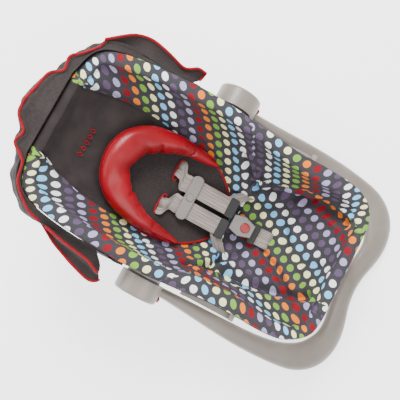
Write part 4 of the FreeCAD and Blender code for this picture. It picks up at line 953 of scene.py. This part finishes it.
class CARSEAT_OT_pillow(bpy.types.Operator):
    """Stuffed crescent head pillow, inflated as cloth, with puckers along its inner edge"""
    bl_idname = "carseat.pillow"
    bl_label = "Head pillow"

    def execute(self, context):
        run = PILLOW_PATH + [(b, -w, r) for b, w, r in reversed(PILLOW_PATH[:-1])]
        plan = np.array([(INSERT_X + b, INSERT_Y + w * INSERT_HALF_WIDTH, r) for b, w, r in run])
        path = catmull(plan, PILLOW_ROWS)
        share = np.clip(path[:, 2], 0.05, 1)
        high = PILLOW_RADIUS * 0.78 * share
        centre = above(path[:, 0], path[:, 1], INSERT_BASE + 0.0056 + high)
        normal = bucket_normal(*station(path[:, 0], path[:, 1]))
        ahead = unit(np.gradient(centre, axis=0))
        wide = unit(np.cross(ahead, normal))
        tall = np.cross(wide, ahead)
        tall *= np.sign((tall * normal).sum(1))[:, None]
        count = PILLOW_SIDES
        angle = around(count)
        start = 0.93
        flat = wide * (PILLOW_RADIUS * start * share)[:, None]
        rise = tall * (high * start)[:, None]
        ring = flat[:, None] * np.cos(angle)[None, :, None] + rise[:, None] * np.sin(angle)[None, :, None]
        tips = [centre[row] + way * ahead[row] * PILLOW_RADIUS * share[row] * 0.6
                for row, way in ((0, -1), (-1, 1))]
        verts = np.vstack([(centre[:, None] + ring).reshape(-1, 3)] + tips)
        first = PILLOW_ROWS * count
        last = first - count
        faces = grid_faces(PILLOW_ROWS, count, close=True)
        faces += [[first, (j + 1) % count, j] for j in range(count)]
        faces += [[first + 1, last + j, last + (j + 1) % count] for j in range(count)]
        pillow = new_mesh_object("crescent_pillow", verts, faces, "shell", "red_satin")
        self.inflate(context, pillow)
        self.pucker(pillow, centre, wide, share)
        extra = pillow.modifiers.new("soften", "SUBSURF")
        extra.levels = 1
        extra.render_levels = 1
        apply_all(pillow)
        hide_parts("head_pillow")
        outer = -np.sign(wide[PILLOW_ROWS // 2, 0])
        seam = centre + tall * (0.12 * high)[:, None]
        seam += wide * (outer * PILLOW_RADIUS * 0.985 * share)[:, None]
        tube("pillow_seam", seam[6:-6], 0.0011, "shell", "red_satin", count=8)
        return {"FINISHED"}

    def inflate(self, context, pillow):
        """Blows the closed tube up as cloth; no point moves further than 5 mm."""
        before = np.array([v.co for v in pillow.data.vertices])
        stuffing = pillow.modifiers.new("stuffing", "CLOTH")
        for key, value in CLOTH_SETTINGS.items():
            setattr(stuffing.settings, key, value)
        stuffing.settings.effector_weights.gravity = 0
        stuffing.point_cache.frame_start = 1
        stuffing.point_cache.frame_end = CLOTH_FRAMES
        for step in range(1, CLOTH_FRAMES + 1):
            context.scene.frame_set(step)
        apply_all(pillow)
        context.scene.frame_set(1)
        move = np.array([v.co for v in pillow.data.vertices]) - before
        move -= move.mean(0)
        size = np.linalg.norm(move, axis=1, keepdims=True)
        move *= np.minimum(1, 0.005 / np.maximum(size, 1e-9))
        move_points(pillow, before + move)

    def pucker(self, pillow, centre, wide, share):
        """Creases that run out from the inner edge of the crescent, and slow dents in the stuffing."""
        rows, count = PILLOW_ROWS, PILLOW_SIDES
        co = np.array([v.co for v in pillow.data.vertices])
        body = co[:rows * count].reshape(rows, count, 3)
        angle = around(count)
        inner = np.sign(wide[rows // 2, 0])
        facing = np.clip(inner * np.cos(angle), 0, 1) ** 0.8 * np.clip(np.sin(angle) + 0.5, 0, 1)
        dent = np.zeros((rows, count))
        for place, depth, width in PILLOW_CREASES:
            lean = (np.arange(rows)[:, None] - place - 1.2 * np.sin(angle)[None]) / width
            dent += depth * np.exp(-lean ** 2) * facing[None]
            dent -= 0.3 * depth * np.exp(-((np.abs(lean) - 2.0) / 1.2) ** 2) * facing[None]
        away = unit(body - centre[:, None])
        slow = wander(body, 0.035, 8) * 0.0012
        body = body + away * (slow - dent * np.minimum(1, share * 1.3)[:, None])[..., None]
        co[:rows * count] = body.reshape(-1, 3)
        move_points(pillow, co)


# ---------------------------------------------------------------- harness webbing
SHOULDER = [
    (-0.0709, 0.022, 0.0939), (-0.086, 0.0319, 0.1017), (-0.102, 0.0396, 0.11), (-0.1133, 0.0433, 0.1164),
    (-0.1188, 0.044, 0.1243), (-0.1178, 0.044, 0.1316), (-0.1106, 0.044, 0.1457), (-0.1056, 0.044, 0.1553),
    (-0.0995, 0.044, 0.1617), (-0.0905, 0.0399, 0.1627),
    (-0.0825, 0.0235, 0.1558), (-0.0711, 0.0235, 0.153),
    (-0.0482, 0.0235, 0.1475), (-0.0252, 0.0235, 0.142), (-0.0023, 0.0235, 0.1365), (0.0206, 0.0235, 0.131),
    (0.032, 0.0235, 0.1283),
]
CROTCH = [
    (0.0999, 0.0, 0.1068), (0.1038, 0.0, 0.1059), (0.1087, 0.0, 0.1047), (0.1135, 0.0, 0.1036),
    (0.1218, 0.0, 0.1056), (0.1307, 0.0, 0.1058), (0.1382, 0.0, 0.1001), (0.1411, 0.0, 0.0927),
    (0.1447, 0.0, 0.0833), (0.1477, 0.0, 0.0753),
]
HIP = [
    (0.0309, 0.0395, 0.1236), (0.0308, 0.0445, 0.1233), (0.041, 0.0564, 0.1173), (0.0511, 0.0676, 0.1069),
    (0.0501, 0.0717, 0.0989), (0.0497, 0.0735, 0.0954), (0.0486, 0.078, 0.0865), (0.0477, 0.0819, 0.0789),
]
ADJUSTER = [
    (-0.0407, 0.0, 0.0753), (-0.0282, 0.0, 0.0688), (0.0153, 0.0, 0.0524), (0.0523, 0.0, 0.0461),
    (0.0918, 0.0, 0.0458), (0.1314, 0.0, 0.0535), (0.1691, 0.0, 0.0674), (0.2271, 0.0, 0.0971),
    (0.2376, 0.0, 0.1064), (0.2495, 0.0, 0.1171), (0.2615, 0.0, 0.1277), (0.2764, 0.0, 0.141),
]
WEBBING_THICKNESS = 0.0018


def move_points(piece, places):
    piece.data.vertices.foreach_set("co", places.astype(np.float32).reshape(-1))
    piece.data.update()


def webbing(name, points, ends, width, node, crumple=0.0):
    """Flat strap with rounded edges along its points, with its map in metres across and along."""
    steps = 150
    path = catmull(points, steps)
    share = np.linspace(0, 1, steps)[:, None]
    wide = unit(np.array(ends[0], float) * (1 - share) + np.array(ends[1], float) * share)
    ahead = unit(np.gradient(path, axis=0))
    rise = unit(np.cross(ahead, wide))
    face = [(0.985 * (-1 + 2 * k / 16), 1.0) for k in range(17)]
    half = [(-1.0, 0.35)] + face + [(1.0, 0.35)]
    section = np.array(half + [(-a, -b) for a, b in half])
    count = len(section)
    wave = 0.0
    if crumple:
        window = np.exp(-((share - 0.44) / 0.055) ** 2)
        wave = crumple * window * np.sin(section[:, 0][None] * 5.0 + share * 30.0)
    lift = np.zeros((steps, count)) + section[:, 1] * WEBBING_THICKNESS / 2 + wave
    verts = (path[:, None] + wide[:, None] * (section[:, 0] * width / 2)[None, :, None]
             + rise[:, None] * lift[..., None])
    faces = grid_faces(steps, count, close=True)
    faces += [list(range(count))[::-1], [(steps - 1) * count + j for j in range(count)]]
    strap = new_mesh_object(name, verts.reshape(-1, 3), faces, "shell", "webbing")
    run = run_along(path)
    write_uv(strap, [(section[i % count, 0] * width / 2, run[i // count]) for i in range(steps * count)])
    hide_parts(node)


def mirrored(points):
    return [(x, -y, z) for x, y, z in points]


class CARSEAT_OT_harness(bpy.types.Operator):
    """Harness webbing from the back slots to the buckle, and its adjuster strap below the shell"""
    bl_idname = "carseat.harness"
    bl_label = "Harness webbing"

    def execute(self, context):
        across = [(0, 1, 0), (0, 1, 0)]
        lap = [(0.972, 0, -0.234), (1, 0, 0)]
        webbing("shoulder_webbing_left", SHOULDER, across, 0.038, "shoulder_strap_left", 0.0022)
        webbing("shoulder_webbing_right", mirrored(SHOULDER), across, 0.038, "shoulder_strap_right", 0.0022)
        webbing("crotch_webbing", CROTCH, across, 0.038, "crotch_strap")
        webbing("hip_webbing_left", HIP, lap, 0.030, "hip_strap_left")
        webbing("hip_webbing_right", mirrored(HIP), lap, 0.030, "hip_strap_right")
        webbing("adjuster_webbing", ADJUSTER, across, 0.025, "adjuster_strap")
        return {"FINISHED"}


# ---------------------------------------------------------------- hood
PIVOT = np.array([-0.11335, 0.0, 0.259])
TILT = math.radians(18.0)
HOOD_BACK = np.array([-math.cos(TILT), 0.0, math.sin(TILT)])
HOOD_UP = np.array([math.sin(TILT), 0.0, math.cos(TILT)])
HOOD_DROP = 0.062
HOOD_REACH = 0.2397
HOOD_SIDE = 0.1798
HOOD_CORNER = 0.092

# plan of the piped edge, from the left wing round the head end to the right wing
PIPED_EDGE = [
    (-0.140, 0.1812), (-0.170, 0.1812), (-0.200, 0.1812), (-0.235, 0.1812), (-0.265, 0.1810),
    (-0.295, 0.1765), (-0.314, 0.166), (-0.318, 0.149), (-0.339, 0.121), (-0.353, 0.106), (-0.351, 0.086),
    (-0.352, 0.076), (-0.369, 0.060), (-0.376, 0.028), (-0.382, -0.006), (-0.377, -0.032), (-0.358, -0.053),
    (-0.361, -0.077), (-0.336, -0.099), (-0.326, -0.134), (-0.305, -0.158), (-0.283, -0.1735),
    (-0.255, -0.1805), (-0.225, -0.1812), (-0.195, -0.1812), (-0.165, -0.1812), (-0.140, -0.1812),
]

# where the piped edge turns into each wing, in plan
HOOD_CORNERS = ((-0.314, 0.166), (-0.262, -0.180))

# each wing in plan: its flared outer edge and its inner edge along the bow
WINGS = {
    "left": (
        [(-0.289, 0.189), (-0.266, 0.205), (-0.240, 0.212), (-0.204, 0.206), (-0.172, 0.199),
         (-0.158, 0.204), (-0.146, 0.212), (-0.131, 0.212)],
        [(-0.289, 0.1765), (-0.266, 0.1785), (-0.240, 0.1785), (-0.204, 0.1785), (-0.172, 0.1785),
         (-0.158, 0.1785), (-0.148, 0.181), (-0.136, 0.198)]),
    "right": (
        [(-0.242, -0.192), (-0.222, -0.204), (-0.200, -0.214), (-0.175, -0.224), (-0.152, -0.232),
         (-0.138, -0.234), (-0.129, -0.231), (-0.124, -0.226)],
        [(-0.242, -0.1785), (-0.222, -0.1785), (-0.200, -0.1785), (-0.175, -0.1785), (-0.160, -0.1785),
         (-0.148, -0.181), (-0.140, -0.190), (-0.132, -0.204)]),
}


def hood_point(back, across, rise):
    """A point in the tilted plane of the folded hood, raised off it."""
    return PIVOT + HOOD_BACK * back + np.array([0, 1.0, 0]) * across + HOOD_UP * rise


def bow_outline(count):
    """Back and across coordinates along the hood's bow, and the outward direction there."""
    points = [(0.013 + (HOOD_REACH - HOOD_CORNER - 0.013) * k / 6, HOOD_SIDE) for k in range(6)]
    for k in range(7):
        a = math.radians(15 * k)
        points.append((HOOD_REACH - HOOD_CORNER + HOOD_CORNER * math.sin(a),
                       HOOD_SIDE - HOOD_CORNER + HOOD_CORNER * math.cos(a)))
    points.append((HOOD_REACH, (HOOD_SIDE - HOOD_CORNER) * 0.5))
    points.append((HOOD_REACH, 0.0))
    points += [(b, -a) for b, a in reversed(points[:-1])]
    line = catmull(points, count)
    tangent = unit(np.gradient(line, axis=0))
    out = np.stack([tangent[:, 1], -tangent[:, 0]], -1)
    out *= np.sign((out * (line - np.array([0.10, 0.0]))).sum(1))[:, None]
    return line, out


class CARSEAT_OT_hood(bpy.types.Operator):
    """Folded hood: one gathered sheet from the shell over the bow, with a piped edge and side wings"""
    bl_idname = "carseat.hood"
    bl_label = "Hood"

    def execute(self, context):
        count = 321
        line, out = bow_outline(count)
        edge = catmull(PIPED_EDGE, 1201)
        piped = np.stack([(PIVOT[0] - edge[:, 0]) / math.cos(TILT), edge[:, 1]], -1)
        keep = np.array([int(np.argmin(np.abs(np.cross(out[i], piped - line[i]))
                                       + 10 * ((piped - line[i]) @ out[i] < -0.05))) for i in range(count)])
        reach = ((piped[keep] - line) * out).sum(1)
        head = ease(line[:, 0], 0.10, 0.20)
        fade = ease(line[:, 0], 0.02, 0.09)
        reach = reach * fade + 0.0012 * (1 - fade)
        reach = np.where(head < 0.02, np.minimum(reach, 0.0014), reach)
        calm = np.convolve(np.pad(reach, 20, mode="edge"), np.ones(41) / 41, mode="valid")
        ripple = (reach - calm) * head
        run = np.arange(count)
        folds = 0.0012 * np.sin(run * 0.21) + 0.0009 * np.sin(run * 0.47 + 1.0)
        # offset from the bow's outline at the sides and at the head, what the gathers add there, and height
        levels = [
            (-0.0020, -0.016, 0, -HOOD_DROP),
            (0.0006, 0.002, 0, -HOOD_DROP + 0.004),
            (0.0016, 0.010, 0.30 * calm + folds, -0.044),
            (0.0024, 0.008, 0.72 * calm + 0.3 * ripple + folds, -0.026),
            (0.0028, 0.007, 0.95 * calm + 0.6 * ripple + folds, -0.010),
            (0.0026, 0.003, reach, 0.0008),
        ]
        offsets = np.array([side + (top - side) * head + head * more for side, top, more, _ in levels]
                           + [reach + 0.0004])
        rises = np.array([[rise] * count for *_, rise in levels] + [[0.0045] * count])
        steps = np.linspace(0, 1, 27)
        limit = np.where(line[:, 0] < 0.20, 0.1832, 9.0)
        rows = []
        for offset, rise in zip(smooth_rows(offsets, steps), smooth_rows(rises, steps)):
            back, across = (line + out * offset[:, None]).T
            rows.append(hood_point(back[:, None], np.clip(across, -limit, limit)[:, None], rise[:, None]))
        shell_edge = self.tuck_line(hood_point(line[:, :1], line[:, 1:], np.zeros((count, 1))))
        shell_edge += ease(line[:, 0], 0.16, 0.225)[:, None] * np.array([0.0035, 0.0, 0.013])
        over_bow = rows[-1]
        for t in np.linspace(0, 1, 15)[1:]:
            slack = (0.0012 * math.sin(math.pi * t) - 0.0030 * math.sin(math.pi * min(1, 3 * t))) * head
            rows.append(over_bow * (1 - t) + shell_edge * t - HOOD_UP * slack[:, None])
        sheet = np.array(rows)
        crease = wander(sheet, 0.022, 11) * 0.0026 + wander(sheet, 0.009, 12, (0.6, 0.6, 1.0)) * 0.0010
        crease *= head[None] * np.sin(np.pi * np.linspace(0, 1, len(rows)))[:, None]
        sheet += crease[..., None] * np.array([HOOD_BACK[0], 0.0, HOOD_UP[2]])
        faces = grid_faces(len(rows), count)
        hood = new_mesh_object("hood_collar", sheet.reshape(-1, 3), faces, None, "hood_fabric")
        lengths = run_along(line)
        drop = np.linalg.norm(np.diff(sheet, axis=0), axis=-1).mean(1)
        down = np.concatenate([[0], np.cumsum(drop)])
        write_uv(hood, [(lengths[i % count], down[i // count]) for i in range(len(rows) * count)])
        thicken(hood, 0.0008)
        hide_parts("hood_front_fabric", "hood_rear_fabric")
        top = line + out * (reach + 0.0004)[:, None]
        rim = hood_point(top[:, :1], top[:, 1:], np.full((count, 1), 0.0062))
        first, last = (int(np.argmin(np.linalg.norm(rim[:, :2] - np.array(corner), axis=1)))
                       for corner in HOOD_CORNERS)
        path = catmull(rim[first:last + 1:3], 300)
        tube("hood_piping", path, 0.0028, "hood", "hood_fabric", "red piping", flat=1.25)
        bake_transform(hood)
        self.wing("left", 1, rim[first])
        self.wing("right", -1, rim[last])
        return {"FINISHED"}

    def tuck_line(self, bow):
        """Where the lining ends: just outside the cover's rolled edge, next to each point of the bow."""
        s = np.linspace(0.5, 0, 90)
        left = np.stack([RIM_X(s), RIM_Y(s), RIM_Z(s)], -1)
        head = left[-1] * np.stack([np.ones(30), np.linspace(1, -1, 30), np.ones(30)], -1)[1:-1]
        edge = np.vstack([left, head, (left * np.array([1, -1, 1]))[::-1]])
        gap = np.linalg.norm(bow[:, None, :2] - edge[None, :, :2], axis=-1)
        near = edge[np.argmin(gap, 1)]
        away = unit((bow - near) * np.array([1, 1, 0]))
        return near + away * 0.0060 - np.array([0, 0, 0.002])

    def wing(self, name, side, join):
        """Flared side of the hood with its piped outer edge and pointed tip."""
        outer, inner = WINGS[name]
        count, cross = 121, 17
        far = catmull([tuple(join[:2])] + outer, count)
        start = (join[0] + 0.006, join[1] - 0.004) if side > 0 else (join[0] + 0.004, -0.1785)
        near = catmull([start] + inner, count)
        at = np.linspace(0, 1, count)
        rows = []
        for t in np.linspace(0, 1, cross):
            plan = near + (far - near) * t
            level = PIVOT[2] + math.tan(TILT) * (PIVOT[0] - plan[:, 0])
            rim = RIM_Z((near[:, 0] - HEAD_X) / LENGTH) - 0.004
            climb = np.maximum(rim - level, 0.0) * 0.4 * ease(at, 0.0, 0.10) * (1 - ease(at, 0.82, 1.0))
            lift = climb * (1 - t) ** 1.6
            if side > 0:
                lift += 0.012 * t - 0.004 * math.sin(math.pi * t)
            else:
                lift += 0.016 * math.exp(-((t - 0.45) / 0.14) ** 2) - 0.004 * t
            sag = 0.0014 * np.sin(19 * at + 3 * t)
            rows.append(np.stack([plan[:, 0], plan[:, 1], level + lift + sag], -1))
        sheet = np.array(rows)
        verts = sheet.reshape(-1, 3)
        wing = new_mesh_object("hood_wing_" + name, verts, grid_faces(cross, count), "hood", "hood_fabric")
        run = run_along(far)
        write_uv(wing, [(run[i % count], (i // count) * 0.003) for i in range(len(verts))])
        thicken(wing, 0.0012)
        lines = {"hood_wing_piping_" + name: sheet[-1]}
        if side < 0:
            lines["hood_wing_fold_" + name] = sheet[7][14:] + HOOD_UP * 0.001
        else:
            lines["hood_wing_end_" + name] = sheet[:, -1]
        pieces = [wing]
        for label, path in lines.items():
            path = catmull(path[::4], 140)
            pieces.append(tube(label, path, 0.0027, "hood", "hood_fabric", "red piping", flat=1.2))
        for piece in pieces:
            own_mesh(piece)


def smooth_rows(table, steps):
    """Smooth curve through the rows of a table, read at even steps."""
    rows = []
    padded = np.vstack([2 * table[0] - table[1], table, 2 * table[-1] - table[-2]])
    for t in steps * (len(table) - 1):
        i = min(int(t), len(table) - 2)
        a, b, c, d = padded[i:i + 4]
        rows.append(spline(a, b, c, d, t - i))
    return np.array(rows)


# ---------------------------------------------------------------- carried-over frame pieces
class CARSEAT_OT_frame_finishes(bpy.types.Operator):
    """Plastic, steel and red finishes for the moulded and metal parts of the frame"""
    bl_idname = "carseat.frame_finishes"
    bl_label = "Frame finishes"

    def execute(self, context):
        for name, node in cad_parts.items():
            dress(node, finish_of(name))
        return {"FINISHED"}


SLOT_BY_START = [
    ("seat_shell", "shell_plastic"), ("handle_screws", "steel"), ("handle_", "handle_plastic"),
    ("hub_cover", "handle_plastic"), ("release_button", "red_plastic"), ("lock_ring", "ring_plastic"),
    ("buckle_face", "harness_plastic"), ("buckle_button", "red_plastic"), ("buckle_spring", "steel"),
    ("buckle_", "dark_plastic"), ("chest_clip", "harness_plastic"), ("adjuster_lever", "dark_plastic"),
    ("seat_pad", "dotted_cover"), ("body_insert", "insert_fabric"), ("head_pillow", "red_satin"),
    ("hood_front", "hood_fabric"), ("hood_rear", "hood_fabric"), ("hood_bow", "dark_plastic"),
    ("shoulder_strap", "webbing"), ("hip_strap", "webbing"), ("crotch_strap", "webbing"),
    ("adjuster_strap", "webbing"),
]


def finish_of(name):
    for start, finish in SLOT_BY_START:
        if name.startswith(start):
            return finish
    return "steel"


# ---------------------------------------------------------------- stage
class CARSEAT_OT_stage(bpy.types.Operator):
    """Camera above the seat, pale floor and soft studio light"""
    bl_idname = "carseat.stage"
    bl_label = "Camera and stage"

    def execute(self, context):
        settings = context.scene.carseat_stage
        camera = bpy.data.cameras.new("camera")
        camera.lens = settings.lens
        camera.sensor_width = 36
        eye = bpy.data.objects.new("camera", camera)
        context.scene.collection.objects.link(eye)
        place = Vector((0.038, -0.13, 1.41))
        target = Vector((-0.034, 0.006, 0.15))
        z = (place - target).normalized()
        x = Vector((-0.469, 0.883, 0)).cross(z).normalized()
        y = z.cross(x)
        eye.matrix_world = Matrix(((x.x, y.x, z.x, place.x), (x.y, y.y, z.y, place.y),
                                   (x.z, y.z, z.z, place.z), (0, 0, 0, 1)))
        context.scene.camera = eye
        bpy.ops.object.select_all(action="DESELECT")
        bpy.ops.mesh.primitive_plane_add(size=8, location=(0, 0, 0))
        floor = context.object
        floor.name = "floor"
        material, tree, shader = begin("pale floor", 0.7, Emission_Color=(1, 1, 1, 1),
                                       Emission_Strength=settings.glow)
        cloud = clouds(tree, object_place(tree), 2.0)
        coloured(tree, shader, cloud, (0.90, 0.90, 0.90, 1), (0.93, 0.93, 0.93, 1))
        floor.data.materials.append(material)
        for name, where, power, size in (
            ("key light", (-0.9, 1.3, 2.3), settings.key_power, 1.1),
            ("fill light", (1.4, -0.9, 1.9), settings.key_power * 0.45, 2.0),
            ("head light", (-1.8, -0.6, 1.4), settings.key_power * 0.25, 1.6),
        ):
            lamp = bpy.data.lights.new(name, "AREA")
            lamp.energy = power
            lamp.size = size
            holder = bpy.data.objects.new(name, lamp)
            holder.location = where
            aim = Vector((0, 0, 0.15)) - Vector(where)
            holder.rotation_euler = aim.to_track_quat("-Z", "Y").to_euler()
            context.scene.collection.objects.link(holder)
        world = bpy.data.worlds.new("studio")
        world.use_nodes = True
        background = world.node_tree.nodes["Background"].inputs
        background[0].default_value = (1, 1, 1, 1)
        background[1].default_value = settings.sky
        context.scene.world = world
        return {"FINISHED"}


class CarSeatStageSettings(bpy.types.PropertyGroup):
    lens: bpy.props.FloatProperty(
        name="Lens", description="Focal length of the camera", default=55.35, unit="CAMERA")
    key_power: bpy.props.FloatProperty(
        name="Key light", description="Power of the largest light", default=105.0, unit="POWER")
    glow: bpy.props.FloatProperty(
        name="Floor glow", description="Light given off by the pale floor", default=1.6)
    sky: bpy.props.FloatProperty(
        name="Sky", description="Brightness of the surrounding white", default=0.95)


class CARSEAT_PT_panel(bpy.types.Panel):
    bl_idname = "CARSEAT_PT_panel"
    bl_label = "Infant car seat"
    bl_space_type = "VIEW_3D"
    bl_region_type = "UI"
    bl_category = "Car Seat"

    def draw(self, context):
        for operator in OPERATORS:
            self.layout.operator(operator.bl_idname)
        for key in ("lens", "key_power", "glow", "sky"):
            self.layout.prop(context.scene.carseat_stage, key)


OPERATORS = (CARSEAT_OT_stage, CARSEAT_OT_frame_finishes, CARSEAT_OT_cover, CARSEAT_OT_insert,
             CARSEAT_OT_pillow, CARSEAT_OT_harness, CARSEAT_OT_hood)
CLASSES = (CarSeatStageSettings,) + OPERATORS + (CARSEAT_PT_panel,)


def register():
    for cls in CLASSES:
        bpy.utils.register_class(cls)
    bpy.types.Scene.carseat_stage = bpy.props.PointerProperty(type=CarSeatStageSettings)


def unregister():
    del bpy.types.Scene.carseat_stage
    for cls in reversed(CLASSES):
        bpy.utils.unregister_class(cls)


def main():
    register()
    FINISHES.update(finish_table())
    bpy.ops.carseat.stage()
    bpy.ops.carseat.frame_finishes()
    bpy.ops.carseat.cover()
    bpy.ops.carseat.insert()
    bpy.ops.carseat.pillow()
    bpy.ops.carseat.harness()
    bpy.ops.carseat.hood()


if __name__ == "__main__":
    main()
